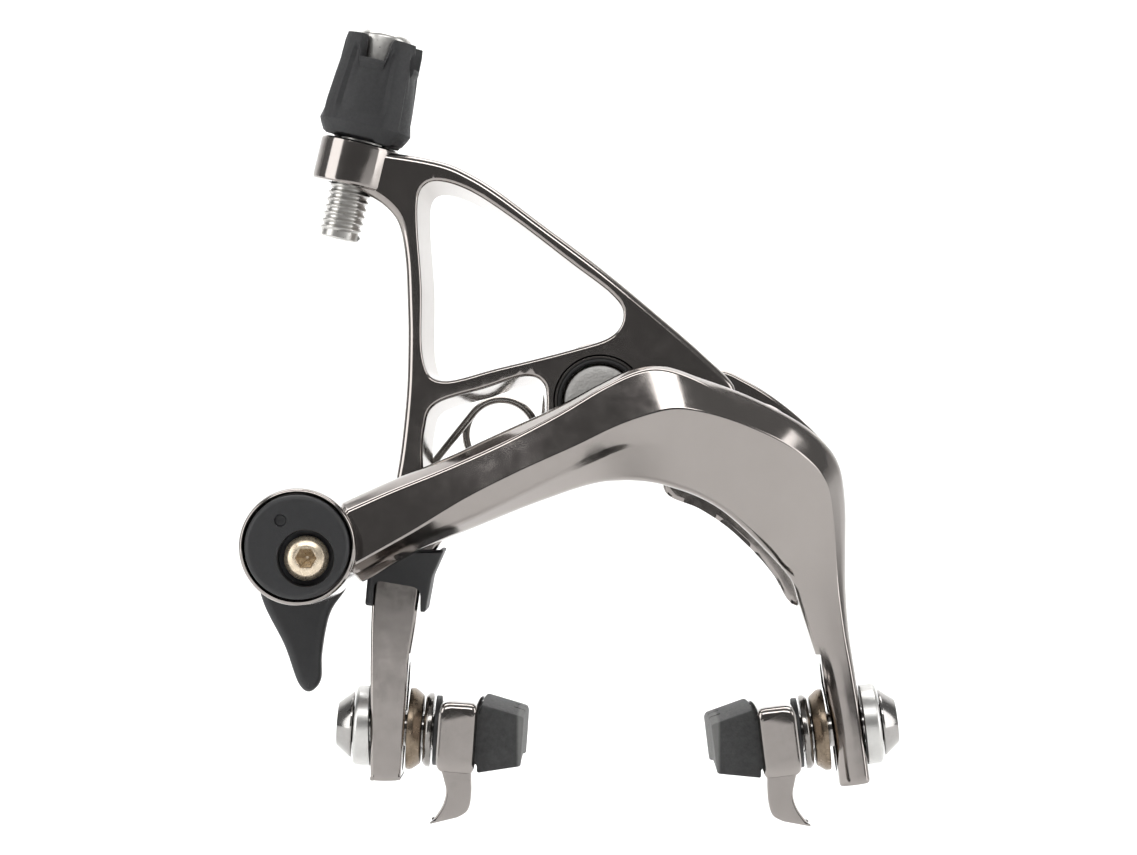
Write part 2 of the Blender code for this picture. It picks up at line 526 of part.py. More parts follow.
def make_spring():
    """Wire torsion spring behind the Y arm: a long leg out to the left leg's cuff, a foot to the bracket."""
    x, z = SPRING_CENTRE
    turn = 2 * pi + SPRING_LEAVE + pi / 2  # once round, and on down to the short leg
    steps = 26
    leg = [(-30.4, -24.2), (-29.6, -20.0), (-27.6, -15.4), (-25.0, -10.6)]
    route = [(px, SPRING_FRONT, pz) for px, pz in leg]
    for k in range(steps + 1):
        angle = SPRING_LEAVE - turn * k / steps
        y = SPRING_FRONT + (SPRING_REAR - SPRING_FRONT) * k / steps
        route.append((x + SPRING_RADIUS * cos(angle), y, z + SPRING_RADIUS * sin(angle)))
    foot = route[-1]
    route += [(foot[0] + reach, SPRING_REAR, foot[2] - drop) for reach, drop in ((3.0, 0.1), (9.8, 0.1))]
    curve = bpy.data.curves.new("return_spring", "CURVE")
    curve.dimensions = "3D"
    spline = curve.splines.new("POLY")
    spline.points.add(len(route) - 1)
    for point, place in zip(spline.points, route):
        point.co = (*(Vector(place) * MM), 1.0)
    curve.bevel_depth = SPRING_WIRE * MM
    curve.bevel_resolution = 2
    curve.use_fill_caps = True
    spring = bpy.data.objects.new("return_spring", curve)
    bpy.context.scene.collection.objects.link(spring)
    material(spring, SPRING_STEEL)


def make_cuff(axis):
    """The plastic cuff round the top of the left leg; its left wall runs back to hold the spring's leg."""
    corners = [(-32.6, -28.3), (-32.2, -24.0), (-31.7, -20.8), (-21.6, -20.6), (-23.3, -24.4), (-24.2, -29.3)]
    outer = [Vector(p) for p in corners]
    cuff = piece("spring_cuff", plate(outer, [(-23.2, 0.4), (-22.8, 0.0), (-9.6, 0.0)]), axis, BLACK)
    corners = [(-32.2, -30.0), (-31.7, -24.0), (-30.8, -19.0), (-21.4, -19.0), (-24.0, -24.0), (-24.9, -30.5)]
    inner = [Vector(p) for p in corners]
    leg = piece("cuff_leg_cut", plate(inner, [(ARM_FRONT - GAP, 0.0), (-8.0, 0.0)]), axis)
    mouth = [Vector(p) for p in ((-31.7, -31.0), (-31.3, -24.8), (-24.9, -25.9), (-24.9, -31.0))]
    notch = piece("cuff_notch_cut", plate(mouth, [(-25.0, 0.0), (-18.0, 0.0)]), axis)
    back = piece("cuff_back_cut", box((-31.0, -11.7, -32.0), (-18.0, -8.0, -18.0)), axis)
    combine(cuff, "DIFFERENCE", leg, notch, back)


def make_centring_screw(axis):
    """Grub screw in the C arm's lug; its tip bears on the Y arm and balances the two pads."""
    screw = axis_relative(turned(rod(1.9, -8.9, -1.6, 0.4), 20, CENTRING_SCREW, "Z"), axis)
    made = piece("centring_screw", screw, axis, STEEL)
    x, y = CENTRING_SCREW
    socket = hexagon(2.0, -12.0, -7.2)
    bmesh.ops.rotate(socket, matrix=Matrix.Rotation(pi / 2, 3, "X"), verts=socket.verts)
    bmesh.ops.translate(socket, vec=(x, y, 0.0), verts=socket.verts)
    socket_cut = piece("centring_socket_cut", axis_relative(socket, axis), axis)
    combine(made, "DIFFERENCE", socket_cut)


def make_pad(pad):
    """One pad assembly. Local X runs out along the pad bolt from the leg's middle, local Z up the slot."""
    name = "left" if pad["side"] < 0 else "right"
    flip = pad["side"]
    frame = pad_frame(pad)
    axis = axis_empty(name + "_pad_axis", frame.translation, frame.to_euler().y)

    def along(profile):
        return [(r, flip * d) for r, d in profile]

    bolt = [(0, 7.3), (3.0, 7.3), (4.6, 5.1), (2.5, 5.1), (2.5, -11.6), (0, -11.6)]
    pad_bolt = piece(name + "_pad_bolt", turned(along(bolt), 24, axis="X"), axis, STEEL)
    socket = hexagon(4.0, 5.4, 9.0)
    bmesh.ops.rotate(socket, matrix=Matrix.Rotation(-flip * pi / 2, 3, "Z"), verts=socket.verts)
    combine(pad_bolt, "DIFFERENCE", piece(name + "_socket_cut", socket, axis))
    seat = 2.6 if flip > 0 else 1.9  # the left washer is cut square to its leg below
    washers = {
        "outer_washer": ([(2.8, seat), (5.6, seat), (5.6, 4.4), (5.3, 4.8), (2.8, 4.8)], STEEL),
        "convex_washer": ([(2.8, -2.6), (5.7, -2.6), (5.7, -3.4), (4.8, -4.6), (2.8, -4.6)], BRONZE),
        "concave_washer": ([(2.8, -4.9), (4.8, -4.9), (5.2, -5.4), (5.2, -6.0), (2.8, -6.0)], NICKEL),
        "spacer_washer": ([(2.8, -6.3), (4.9, -6.3), (4.9, -7.1), (2.8, -7.1)], BLACK),
    }
    made = {
        part: piece(name + "_pad_" + part, turned(along(profile), 24, axis="X"), axis, finish)
        for part, (profile, finish) in washers.items()
    }
    if flip < 0:
        leg_side = box((LEFT_LEG_OUTSIDE - GAP, -30.0, -60.0), (-20.0, -5.0, -30.0))
        combine(made["outer_washer"], "DIFFERENCE", piece("leg_side_cut", leg_side))
    make_shoe(name, flip, axis)
    return axis


def shoe_solid(section, half, steps=10):
    """Sweeps an (X, Z) section along the rim's arc; the section is given about the shoe's middle."""
    loops = []
    for k in range(steps + 1):
        y = -half + 2 * half * k / steps
        drop = y * y / 2 / SHOE_RADIUS + y * tan(SHOE_PITCH)
        loops.append([(x, y, z + SHOE_LIFT - drop) for x, z in section])
    return loft(loops)


def make_shoe(name, flip, axis):
    """Pad holder with its wheel guide at the front, the rubber pad in its channel, the locking screw."""
    half, wall = 4.8, 1.1  # half the holder's height and its walls' thickness
    inside = half - wall
    section = [(-7.4, 3.2), (-8.4, half), (-12.8, half), (-12.8, inside), (-10.0, inside)]
    section += [(x, -z) for x, z in reversed(section)]
    skin = shoe_solid([(flip * x, z) for x, z in section], SHOE_HALF)
    holder = piece(name + "_pad_holder", skin, axis, NICKEL)
    near, far = -5.0 * flip, -12.2 * flip
    bore = turned([(0, near), (2.8, near), (2.8, far), (0, far)], 24, axis="X")
    combine(holder, "DIFFERENCE", piece(name + "_holder_bore_cut", bore, axis))
    back = [(-8.0, -3.1), (-9.3, -4.6), (-9.8, -6.2), (-9.5, -8.2), (-8.4, -10.6)]
    hook = curve_through(back, 3, closed=False)
    hook += curve_through([(-11.0, -9.5), (-12.4, -8.4), (-12.7, -6.0), (-12.7, -3.1)], 3, closed=False)
    front = -SHOE_HALF + 0.2
    loops = [[(flip * p.x, y, p.y) for p in hook] for y in (front, front + 6.0)]
    combine(holder, "UNION", piece(name + "_wheel_guide_shape", loft(loops), axis))
    section = [(-10.3, 3.4), (-13.1, 3.4), (-13.2, 4.6), (-PAD_FACE, 3.3)]
    section += [(x, -z) for x, z in reversed(section)]
    skin = shoe_solid([(flip * x, z) for x, z in section], SHOE_HALF - 0.6)
    pad = piece(name + "_brake_pad", skin, axis, RUBBER)
    relief = turned([(0, near), (3.0, near), (3.0, far), (0, far)], 24, axis="X")
    screw_place = (flip * -11.6, 14.0)
    holder_hole = piece(name + "_screw_hole_cut", turned(rod(1.6, -7.0, -2.2), 16, screw_place, "Z"), axis)
    combine(holder, "DIFFERENCE", holder_hole)
    combine(pad, "DIFFERENCE", piece(name + "_pad_relief_cut", relief, axis), holder_hole)
    piece(name + "_pad_screw", turned(rod(1.3, -5.2, -2.6), 16, screw_place, "Z"), axis, STEEL)


def clear_scene():
    for obj in list(bpy.data.objects):
        bpy.data.objects.remove(obj)


clear_scene()
y_arm_axis = axis_empty("y_arm_axis", (0, 0, 0))
c_arm_axis = axis_empty("c_arm_axis", (SIDE_PIVOT[0], 0, SIDE_PIVOT[1]))
lever_axis = axis_empty("lever_axis", (LEVER_CENTRE[0], 0, LEVER_CENTRE[1]))
barrel_axis = axis_empty("barrel_axis", BARREL_FOOT, BARREL_LEAN)
bpy.context.view_layer.update()
make_y_arm(y_arm_axis, barrel_axis)
make_c_arm(c_arm_axis, lever_axis)
make_centre_bolt()
make_bracket()
make_pivot_rings(y_arm_axis, c_arm_axis)
make_spring()
make_cuff(y_arm_axis)
make_centring_screw(c_arm_axis)
make_quick_release(lever_axis)
make_barrel_adjuster(barrel_axis)
for side in (LEFT_PAD, RIGHT_PAD):
    make_pad(side)
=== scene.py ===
import json
from math import atan2, cos, pi, radians, sin

import bmesh
import bpy
from mathutils import Matrix, Vector, kdtree


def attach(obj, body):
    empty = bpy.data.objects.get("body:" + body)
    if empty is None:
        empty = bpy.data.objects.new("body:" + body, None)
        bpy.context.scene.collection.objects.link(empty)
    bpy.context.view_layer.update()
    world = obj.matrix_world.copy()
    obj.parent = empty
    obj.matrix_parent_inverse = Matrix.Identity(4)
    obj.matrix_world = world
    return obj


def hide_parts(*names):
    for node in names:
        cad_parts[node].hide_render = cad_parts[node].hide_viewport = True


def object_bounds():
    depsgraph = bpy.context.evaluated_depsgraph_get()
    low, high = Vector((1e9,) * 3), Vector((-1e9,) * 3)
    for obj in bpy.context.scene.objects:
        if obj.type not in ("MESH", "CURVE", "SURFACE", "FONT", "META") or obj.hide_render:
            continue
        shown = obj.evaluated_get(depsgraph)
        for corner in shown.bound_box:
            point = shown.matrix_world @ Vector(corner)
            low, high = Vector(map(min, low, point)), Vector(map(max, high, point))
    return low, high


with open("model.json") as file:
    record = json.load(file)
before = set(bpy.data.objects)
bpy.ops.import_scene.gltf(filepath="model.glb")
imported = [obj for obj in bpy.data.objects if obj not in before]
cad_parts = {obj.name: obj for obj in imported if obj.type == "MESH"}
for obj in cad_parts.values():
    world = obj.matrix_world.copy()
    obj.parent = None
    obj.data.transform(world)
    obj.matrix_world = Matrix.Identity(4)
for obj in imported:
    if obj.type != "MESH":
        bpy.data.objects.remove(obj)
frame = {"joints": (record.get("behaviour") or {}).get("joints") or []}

cad_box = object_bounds()

# The studio. A pale paper sweep runs under and behind the brake, which hangs in the air from its bolt.
# Soft boxes stand at both sides and above, two lamps light the paper, and the room towards the camera is dim.
SWEEP_DROP = 0.05  # from the brake's lowest point to the paper
SWEEP_BACK, SWEEP_BEND = 0.30, 0.25
SWEEP_HALF, SWEEP_FRONT, SWEEP_TOP = 1.6, -1.6, 1.4
CAMERA_PLACE = (0.0, -0.572, -0.004)
CAMERA_LENS, CAMERA_SENSOR = 125.4, 36.0
CAMERA_SHIFT = (-0.0277, 0.0022)
PAPER_DARK, PAPER_LIGHT = (0.93, 0.93, 0.93, 1), (0.97, 0.97, 0.965, 1)
FIBRES_PER_METRE = 900.0
ROOM_FRONT, ROOM_SIDES = 0.14, 0.24


def add(tree, kind, inputs=(), **settings):
    """A shader node with its settings; each input is given a value or the socket that feeds it."""
    made = tree.nodes.new("ShaderNode" + kind)
    for key, value in settings.items():
        setattr(made, key, value)
    for key, value in dict(inputs).items():
        if isinstance(value, bpy.types.NodeSocket):
            tree.links.new(value, made.inputs[key])
        else:
            made.inputs[key].default_value = value
    return made


def paper_sweep():
    floor = cad_box[0].z - SWEEP_DROP
    bm = bmesh.new()
    ends = [bm.verts.new((side * SWEEP_HALF, SWEEP_FRONT, floor)) for side in (-1, 1)]
    front = bm.edges.new(ends)
    grown = bmesh.ops.extrude_edge_only(bm, edges=[front])["geom"]
    corner = [v for v in grown if isinstance(v, bmesh.types.BMVert)]
    bmesh.ops.translate(bm, vec=(0, SWEEP_BACK - SWEEP_FRONT, 0), verts=corner)
    edge = [e for e in grown if isinstance(e, bmesh.types.BMEdge)]
    bend = bmesh.ops.spin(
        bm,
        geom=corner + edge,
        cent=(0, SWEEP_BACK, floor + SWEEP_BEND),
        axis=(1, 0, 0),
        angle=pi / 2,
        steps=24,
    )["geom_last"]
    last = [e for e in bend if isinstance(e, bmesh.types.BMEdge)]
    grown = bmesh.ops.extrude_edge_only(bm, edges=last)["geom"]
    top = [v for v in grown if isinstance(v, bmesh.types.BMVert)]
    bmesh.ops.translate(bm, vec=(0, 0, SWEEP_TOP), verts=top)
    mesh = bpy.data.meshes.new("paper_sweep")
    bm.to_mesh(mesh)
    bm.free()
    mesh.shade_smooth()
    sweep = bpy.data.objects.new("paper_sweep", mesh)
    bpy.context.scene.collection.objects.link(sweep)
    paper = bpy.data.materials.new("studio_paper")
    paper.use_nodes = True
    tree = paper.node_tree
    shader = tree.nodes["Principled BSDF"]
    place = add(tree, "TexCoord")
    fibre = add(
        tree, "TexNoise", {"Vector": place.outputs["Object"], "Scale": FIBRES_PER_METRE, "Detail": 3.0}
    )
    shade = add(
        tree, "MixRGB", {"Fac": fibre.outputs["Fac"], "Color1": PAPER_DARK, "Color2": PAPER_LIGHT}
    )
    tree.links.new(shade.outputs["Color"], shader.inputs["Base Color"])
    shader.inputs["Roughness"].default_value = 0.9
    mesh.materials.append(paper)


def soft_box(name, place, aim, size, power):
    """A rectangular lamp at a place, turned to a point, with its size and power."""
    data = bpy.data.lights.new(name, "AREA")
    data.shape = "RECTANGLE"
    data.size, data.size_y = size
    data.energy = power
    lamp = bpy.data.objects.new(name, data)
    lamp.location = place
    lamp.rotation_euler = (Vector(aim) - Vector(place)).to_track_quat("-Z", "Y").to_euler()
    bpy.context.scene.collection.objects.link(lamp)


def dim_room():
    """The room's own light: dark towards the camera, lighter to the sides and overhead."""
    world = bpy.data.worlds.new("dim_room")
    world.use_nodes = True
    tree = world.node_tree
    tree.nodes.clear()
    place = add(tree, "TexCoord")
    parts = add(tree, "SeparateXYZ", {"Vector": place.outputs["Generated"]})
    glow = {"From Min": -1.0, "From Max": -0.55, "To Min": ROOM_FRONT, "To Max": ROOM_SIDES}
    front = add(
        tree, "MapRange", {"Value": parts.outputs["Y"], **glow}, interpolation_type="SMOOTHSTEP"
    )
    sky = add(tree, "Background", {"Color": (1.0, 1.0, 1.0, 1), "Strength": front.outputs["Result"]})
    out = add(tree, "OutputWorld", {"Surface": sky.outputs["Background"]})
    bpy.context.scene.world = world


def camera():
    data = bpy.data.cameras.new("front_camera")
    data.lens, data.sensor_width = CAMERA_LENS, CAMERA_SENSOR
    data.shift_x, data.shift_y = CAMERA_SHIFT
    data.clip_start, data.clip_end = 0.01, 20.0
    seen = bpy.data.objects.new("front_camera", data)
    seen.location = CAMERA_PLACE
    seen.rotation_euler = (pi / 2, 0, 0)
    bpy.context.scene.collection.objects.link(seen)
    bpy.context.scene.camera = seen


paper_sweep()
dim_room()
soft_box("left_soft_box", (-0.75, -0.35, 0.15), (0, 0, 0), (0.5, 0.9), 4.2)
soft_box("right_soft_box", (0.75, -0.25, 0.10), (0, 0, 0), (0.4, 0.9), 3.4)
soft_box("top_soft_box", (0.0, 0.10, 0.80), (0, 0, 0), (0.9, 0.6), 1.0)
soft_box("front_paper_light", (0.0, -1.15, 0.90), (0, -1.15, -0.1), (1.4, 0.5), 13.0)
soft_box("paper_light", (0.0, 0.15, 0.75), (0, 0.6, 0.0), (1.0, 0.4), 6.0)
camera()
bpy.context.scene.view_settings.view_transform = "Standard"

# The centre bolt: a forged steel bolt with a round head, shot-peened and nickel-plated, with a rolled M6 thread.
# It goes through the rear arm and the bracket into the fork crown, and everything else hangs from it.
MM = 0.001
STEEL_DARK, STEEL_LIGHT = (0.36, 0.35, 0.34, 1), (0.56, 0.55, 0.53, 1)
HEAD_RADIUS, SHAFT_RADIUS, STUD_RADIUS = 5.0, 4.0, 3.0
HEAD_FRONT, HEAD_REAR, SHAFT_REAR, STUD_END = -21.3, -19.2, -3.3, 27.0
THREAD_PITCH, THREAD_DEPTH = 1.0, 0.55
THREAD_START, THREAD_TURNS = 5.0, 20


def finish(name, metallic, roughness):
    """A new material and its tree, shader and Object coordinates."""
    made = bpy.data.materials.new(name)
    made.use_nodes = True
    tree = made.node_tree
    shader = tree.nodes["Principled BSDF"]
    shader.inputs["Metallic"].default_value = metallic
    shader.inputs["Roughness"].default_value = roughness
    place = add(tree, "TexCoord").outputs["Object"]
    return made, tree, shader, place


def drift(tree, shader, place, colours, size):
    """Base colour that wanders between two tones over patches of a size in millimetres."""
    cloud = add(
        tree, "TexNoise", {"Vector": place, "Scale": 1 / (size * MM), "Detail": 4.0, "Roughness": 0.6}
    )
    dark, light = colours
    tone = add(tree, "MixRGB", {"Fac": cloud.outputs["Fac"], "Color1": dark, "Color2": light})
    tree.links.new(tone.outputs["Color"], shader.inputs["Base Color"])


def rub(tree, shader, place, limits, size, detail=5.0):
    """Roughness that varies between two limits, as handling and polishing leave it."""
    cloud = add(
        tree, "TexNoise", {"Vector": place, "Scale": 1 / (size * MM), "Detail": detail, "Roughness": 0.65}
    )
    ends = {"From Min": 0.3, "From Max": 0.7, "To Min": limits[0], "To Max": limits[1]}
    spread = add(tree, "MapRange", {"Value": cloud.outputs["Fac"], **ends})
    tree.links.new(spread.outputs["Result"], shader.inputs["Roughness"])


def relief(tree, shader, height, depth):
    """Small relief in the surface; depth is in millimetres."""
    bump = add(tree, "Bump", {"Height": height, "Strength": 1.0, "Distance": depth * MM})
    tree.links.new(bump.outputs["Normal"], shader.inputs["Normal"])


def peened_steel():
    made, tree, shader, place = finish("peened_steel", 0.7, 0.4)
    drift(tree, shader, place, (STEEL_DARK, STEEL_LIGHT), 0.25)
    rub(tree, shader, place, (0.5, 0.62), 1.5)
    dents = add(tree, "TexVoronoi", {"Vector": place, "Scale": 1 / (0.32 * MM)}, feature="SMOOTH_F1")
    relief(tree, shader, dents.outputs["Distance"], 0.06)
    return made


def outward(bm):
    """Turns every face of a closed shape outwards."""
    bmesh.ops.recalc_face_normals(bm, faces=bm.faces)
    if bm.calc_volume(signed=True) < 0:
        bmesh.ops.reverse_faces(bm, faces=bm.faces)


def finished(name, bm, material, body, slot, *nodes, crease=32.0):
    """Turns a bmesh in millimetres into a shown piece in metres, riding on its body in place of CAD nodes."""
    bmesh.ops.remove_doubles(bm, verts=bm.verts, dist=1e-3)
    outward(bm)
    bmesh.ops.scale(bm, vec=(MM, MM, MM), verts=bm.verts)
    mesh = bpy.data.meshes.new(name)
    bm.to_mesh(mesh)
    bm.free()
    mesh.shade_smooth()
    mesh.set_sharp_from_angle(angle=radians(crease))
    mesh.materials.append(material)
    made = bpy.data.objects.new(name, mesh)
    bpy.context.scene.collection.objects.link(made)
    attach(made, body)
    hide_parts(*nodes)
    return made


def grow(bm, edges, profile):
    """Extends an open loop along Y, ring by ring of (radius, distance)."""
    for radius, distance in profile:
        grown = bmesh.ops.extrude_edge_only(bm, edges=edges)["geom"]
        for vert in (v for v in grown if isinstance(v, bmesh.types.BMVert)):
            turn = atan2(vert.co.z, vert.co.x)
            vert.co = (radius * cos(turn), distance, radius * sin(turn))
        edges = [e for e in grown if isinstance(e, bmesh.types.BMEdge)]


def threaded(radius, depth, pitch, start, turns, near, far, steps=40):
    """A right-hand thread along Y, with the plain shapes before and after it grown from its two end loops."""
    bm = bmesh.new()
    root = radius - depth
    tooth = [(root, 0.0), (root, 0.12), (radius, 0.44), (radius, 0.56), (root, 0.88), (root, 1.0)]
    verts = [bm.verts.new((r, start + share * pitch, 0.0)) for r, share in tooth]
    edges = [bm.edges.new(pair) for pair in zip(verts, verts[1:])]
    bmesh.ops.spin(
        bm,
        geom=verts + edges,
        cent=(0, 0, 0),
        axis=(0, 1, 0),
        dvec=(0, pitch / steps, 0),
        angle=2 * pi * turns,
        steps=steps * turns,
    )
    bmesh.ops.remove_doubles(bm, verts=bm.verts, dist=1e-4)
    rims = [e for e in bm.edges if e.is_boundary]
    middle = start + pitch * (turns + 1) / 2
    grow(bm, [e for e in rims if e.verts[0].co.y < middle], near)
    grow(bm, [e for e in rims if e.verts[0].co.y > middle], far)
    bmesh.ops.remove_doubles(bm, verts=bm.verts, dist=1e-4)
    return bm


steel = peened_steel()
thread_end = THREAD_START + THREAD_PITCH * (THREAD_TURNS + 1)
thread_root = STUD_RADIUS - THREAD_DEPTH
shaft_and_head = [
    (thread_root, THREAD_START - 0.2), (STUD_RADIUS, THREAD_START - 0.7), (STUD_RADIUS, SHAFT_REAR + 0.9),
    (SHAFT_RADIUS - 0.3, SHAFT_REAR + 0.2), (SHAFT_RADIUS, SHAFT_REAR - 0.2), (SHAFT_RADIUS, HEAD_REAR),
    (HEAD_RADIUS - 0.1, HEAD_REAR), (HEAD_RADIUS, HEAD_REAR - 0.1), (HEAD_RADIUS, HEAD_FRONT + 0.5),
    (HEAD_RADIUS - 0.12, HEAD_FRONT + 0.2), (HEAD_RADIUS - 0.45, HEAD_FRONT + 0.05),
    (HEAD_RADIUS - 1.2, HEAD_FRONT), (0.0, HEAD_FRONT),
]
stud_tip = [(thread_root, thread_end + 0.1), (STUD_RADIUS - 0.9, STUD_END), (0.0, STUD_END)]
centre_bolt = threaded(
    STUD_RADIUS, THREAD_DEPTH, THREAD_PITCH, THREAD_START, THREAD_TURNS, shaft_and_head, stud_tip
)
finished("centre_bolt_fine", centre_bolt, steel, "frame", "hidden_steel", "centre_bolt")

# The rings of the two pivots. The thrust washers and the side pivot's pin are ground steel, the seat washer is
# turned aluminium, the bushes are pressed-in bronze, the seal round the bolt head is rubber, the circlip is stamped.
JOINTS = {joint["name"]: joint for joint in frame["joints"]}
SEAT_OUTER, SEAL_OUTER = 7.5, 6.0
THRUST = (-9.6, -8.8)  # the front and rear of both thrust washers
CENTRE_BORE, SIDE_BORE = 4.3, 3.5
SIDE_PIN, SIDE_PIN_FRONT, SIDE_PIN_REAR = 3.2, -26.2, -1.2


def rounded(points, radii, steps=4, closed=True):
    """The corners of a polygon or profile turned into curves that start at each corner's radius from it."""
    found = []
    for i, (point, radius) in enumerate(zip(points, radii)):
        here = Vector(point)
        if radius == 0.0 or (not closed and i in (0, len(points) - 1)):
            found.append(here)
            continue
        before, after = Vector(points[i - 1]) - here, Vector(points[(i + 1) % len(points)]) - here
        start = here + before.normalized() * min(radius, before.length * 0.49)
        end = here + after.normalized() * min(radius, after.length * 0.49)
        for k in range(steps + 1):
            t = k / steps
            found.append(start * (1 - t) ** 2 + here * 2 * t * (1 - t) + end * t**2)
    return found


def turned(profile, place=None, steps=72, radius=0.15):
    """A (radius, distance) profile with rounded corners, spun about Y and moved to its place."""
    closed = profile[0][0] > 0 or profile[-1][0] > 0
    points = rounded(profile, [radius] * len(profile), 3, closed)
    bm = bmesh.new()
    verts = [bm.verts.new((p.x, p.y, 0.0)) for p in points]
    pairs = list(zip(verts, verts[1:])) + ([(verts[-1], verts[0])] if closed else [])
    edges = [bm.edges.new(pair) for pair in pairs]
    bmesh.ops.spin(
        bm, geom=verts + edges, cent=(0, 0, 0), axis=(0, 1, 0), angle=2 * pi, steps=steps, use_merge=True
    )
    bmesh.ops.remove_doubles(bm, verts=bm.verts, dist=1e-4)
    if place:
        bmesh.ops.transform(bm, matrix=place, verts=bm.verts)
    return bm


def pivot_place(name):
    """Moves a shape made round the Y axis to a joint whose axis runs along Y."""
    x, _, z = JOINTS[name]["pos_m"]
    return Matrix.Translation((x / MM, 0.0, z / MM))


def ring(inner, outer, near, far):
    return [(inner, near), (outer, near), (outer, far), (inner, far)]


def rod(radius, near, far):
    return [(0, near), (radius, near), (radius, far), (0, far)]


def plain_metal(name, dark, light, limits):
    """Machined or plated metal with a faint change of tone and of gloss."""
    made, tree, shader, place = finish(name, 1.0, 0.3)
    drift(tree, shader, place, (dark, light), 0.8)
    rub(tree, shader, place, limits, 0.48)
    return made


def moulded_rubber():
    made, tree, shader, place = finish("moulded_rubber", 0.0, 0.6)
    drift(tree, shader, place, ((0.006, 0.006, 0.006, 1), (0.014, 0.014, 0.014, 1)), 0.8)
    rub(tree, shader, place, (0.45, 0.65), 0.5)
    return made


ground_steel = plain_metal("ground_steel", (0.40, 0.39, 0.37, 1), (0.55, 0.54, 0.52, 1), (0.22, 0.4))
satin_silver = plain_metal("satin_silver", (0.47, 0.465, 0.45, 1), (0.56, 0.555, 0.54, 1), (0.28, 0.4))
bronze = plain_metal("bronze", (0.16, 0.125, 0.09, 1), (0.25, 0.2, 0.15, 1), (0.22, 0.4))
spring_steel = plain_metal("spring_steel", (0.34, 0.32, 0.30, 1), (0.44, 0.42, 0.40, 1), (0.14, 0.28))
rubber = moulded_rubber()
side = pivot_place("c_arm_pivot")
seal = [(5.3, -19.2), (5.3, -21), (5.5, -21.6), (5.9, -21.55), (SEAL_OUTER, -21.2), (SEAL_OUTER, -19.2)]
pin = [
    (0, SIDE_PIN_FRONT), (SIDE_PIN, SIDE_PIN_FRONT), (SIDE_PIN, -3.3), (2.5, -3.3), (2.5, -1.9), (SIDE_PIN, -1.9),
    (SIDE_PIN, SIDE_PIN_REAR), (0, SIDE_PIN_REAR),
]
for name, profile, place, metal, body, slot in (
    ("seat_washer", ring(CENTRE_BORE + 0.1, SEAT_OUTER, -3.0, 0.0), None, satin_silver, "frame", "satin_silver"),
    ("centre_thrust_washer", ring(CENTRE_BORE, 6.6, *THRUST), None, ground_steel, "frame", "hidden_steel"),
    ("side_thrust_washer", ring(SIDE_BORE, 6.0, *THRUST), side, ground_steel, "frame", "hidden_steel"),
    ("centre_bush", ring(CENTRE_BORE, 5.2, -18.6, -9.9), None, bronze, "y_arm", "bronze_washer"),
    ("side_pivot_bush", ring(SIDE_BORE, 4.3, -8.5, -3.3), side, bronze, "frame", "bronze_washer"),
    ("centre_seal_ring", seal, None, rubber, "y_arm", "seal_rubber"),
    ("side_pivot_pin", pin, side, ground_steel, "c_arm", "dark_chrome_bolt"),
):
    finished(name + "_fine", turned(profile, place), metal, body, slot, name)


def shown(bm):
    """A bmesh as a scene object for a moment, while other shapes are cut from it or joined to it."""
    mesh = bpy.data.meshes.new("shape")
    outward(bm)
    bmesh.ops.triangulate(bm, faces=[face for face in bm.faces if len(face.verts) > 4])
    bm.to_mesh(mesh)
    bm.free()
    made = bpy.data.objects.new("shape", mesh)
    bpy.context.scene.collection.objects.link(made)
    return made


def shaped(bm, joins=(), cuts=()):
    """The bmesh with shapes joined to it and then cut from it."""
    base = shown(bm)
    tools = []
    for operation, others in (("UNION", joins), ("DIFFERENCE", cuts)):
        for other in others:
            tools.append(shown(other))
            step = base.modifiers.new("step", "BOOLEAN")
            step.operation, step.solver, step.object = operation, "MANIFOLD", tools[-1]
    bpy.context.view_layer.update()
    result = bmesh.new()
    result.from_object(base, bpy.context.evaluated_depsgraph_get())
    for temporary in (base, *tools):
        mesh = temporary.data
        bpy.data.objects.remove(temporary)
        bpy.data.meshes.remove(mesh)
    return result


def block(low, high, width=0.0):
    """A box between two corners with its edges rounded."""
    bm = bmesh.new()
    bmesh.ops.create_cube(bm, size=1.0)
    bmesh.ops.scale(bm, vec=Vector(high) - Vector(low), verts=bm.verts)
    bmesh.ops.translate(bm, vec=(Vector(high) + Vector(low)) / 2, verts=bm.verts)
    if width:
        bmesh.ops.bevel(bm, geom=list(bm.edges), offset=width, segments=3, profile=0.5, affect="EDGES", material=-1)
    return bm


clip = turned(ring(2.8, 4.8, -3.0, -2.2), side)
mouth = block((19.4, -4.0, -13.0), (22.6, -1.0, -8.5))
clip = shaped(clip, cuts=[mouth])
finished("side_pivot_circlip_fine", clip, spring_steel, "c_arm", "spring_steel", "side_pivot_circlip")

# The bracket behind both arms: forged aluminium, bright-polished and nickel-coloured like the arms. It is clamped
# on the centre bolt, carries the side pivot's bush and holds the foot of the return spring on its lug.
BRACKET_FRONT, BRACKET_REAR = -8.5, -3.3


def through(points, each, closed=True):
    """Points on the smooth curve through the given ones."""
    count = len(points)
    found = []
    for i in range(count if closed else count - 1):
        near = [(i + k) % count if closed else min(max(i + k, 0), count - 1) for k in (-1, 0, 1, 2)]
        a, b, c, d = (Vector(points[k]) for k in near)
        for k in range(each):
            t = k / each
            bend = (2 * a - 5 * b + 4 * c - d) * t**2 + (3 * b - a - 3 * c + d) * t**3
            found.append((2 * b + (c - a) * t + bend) / 2)
    return found if closed else found + [Vector(points[-1])]


def inset(outline, distances):
    """A clockwise outline with each point moved inwards by its own distance."""
    moved = []
    for i, here in enumerate(outline):
        along = (outline[(i + 1) % len(outline)] - outline[i - 1]).normalized()
        moved.append(here + Vector((along.y, -along.x)) * distances[i])
    return moved


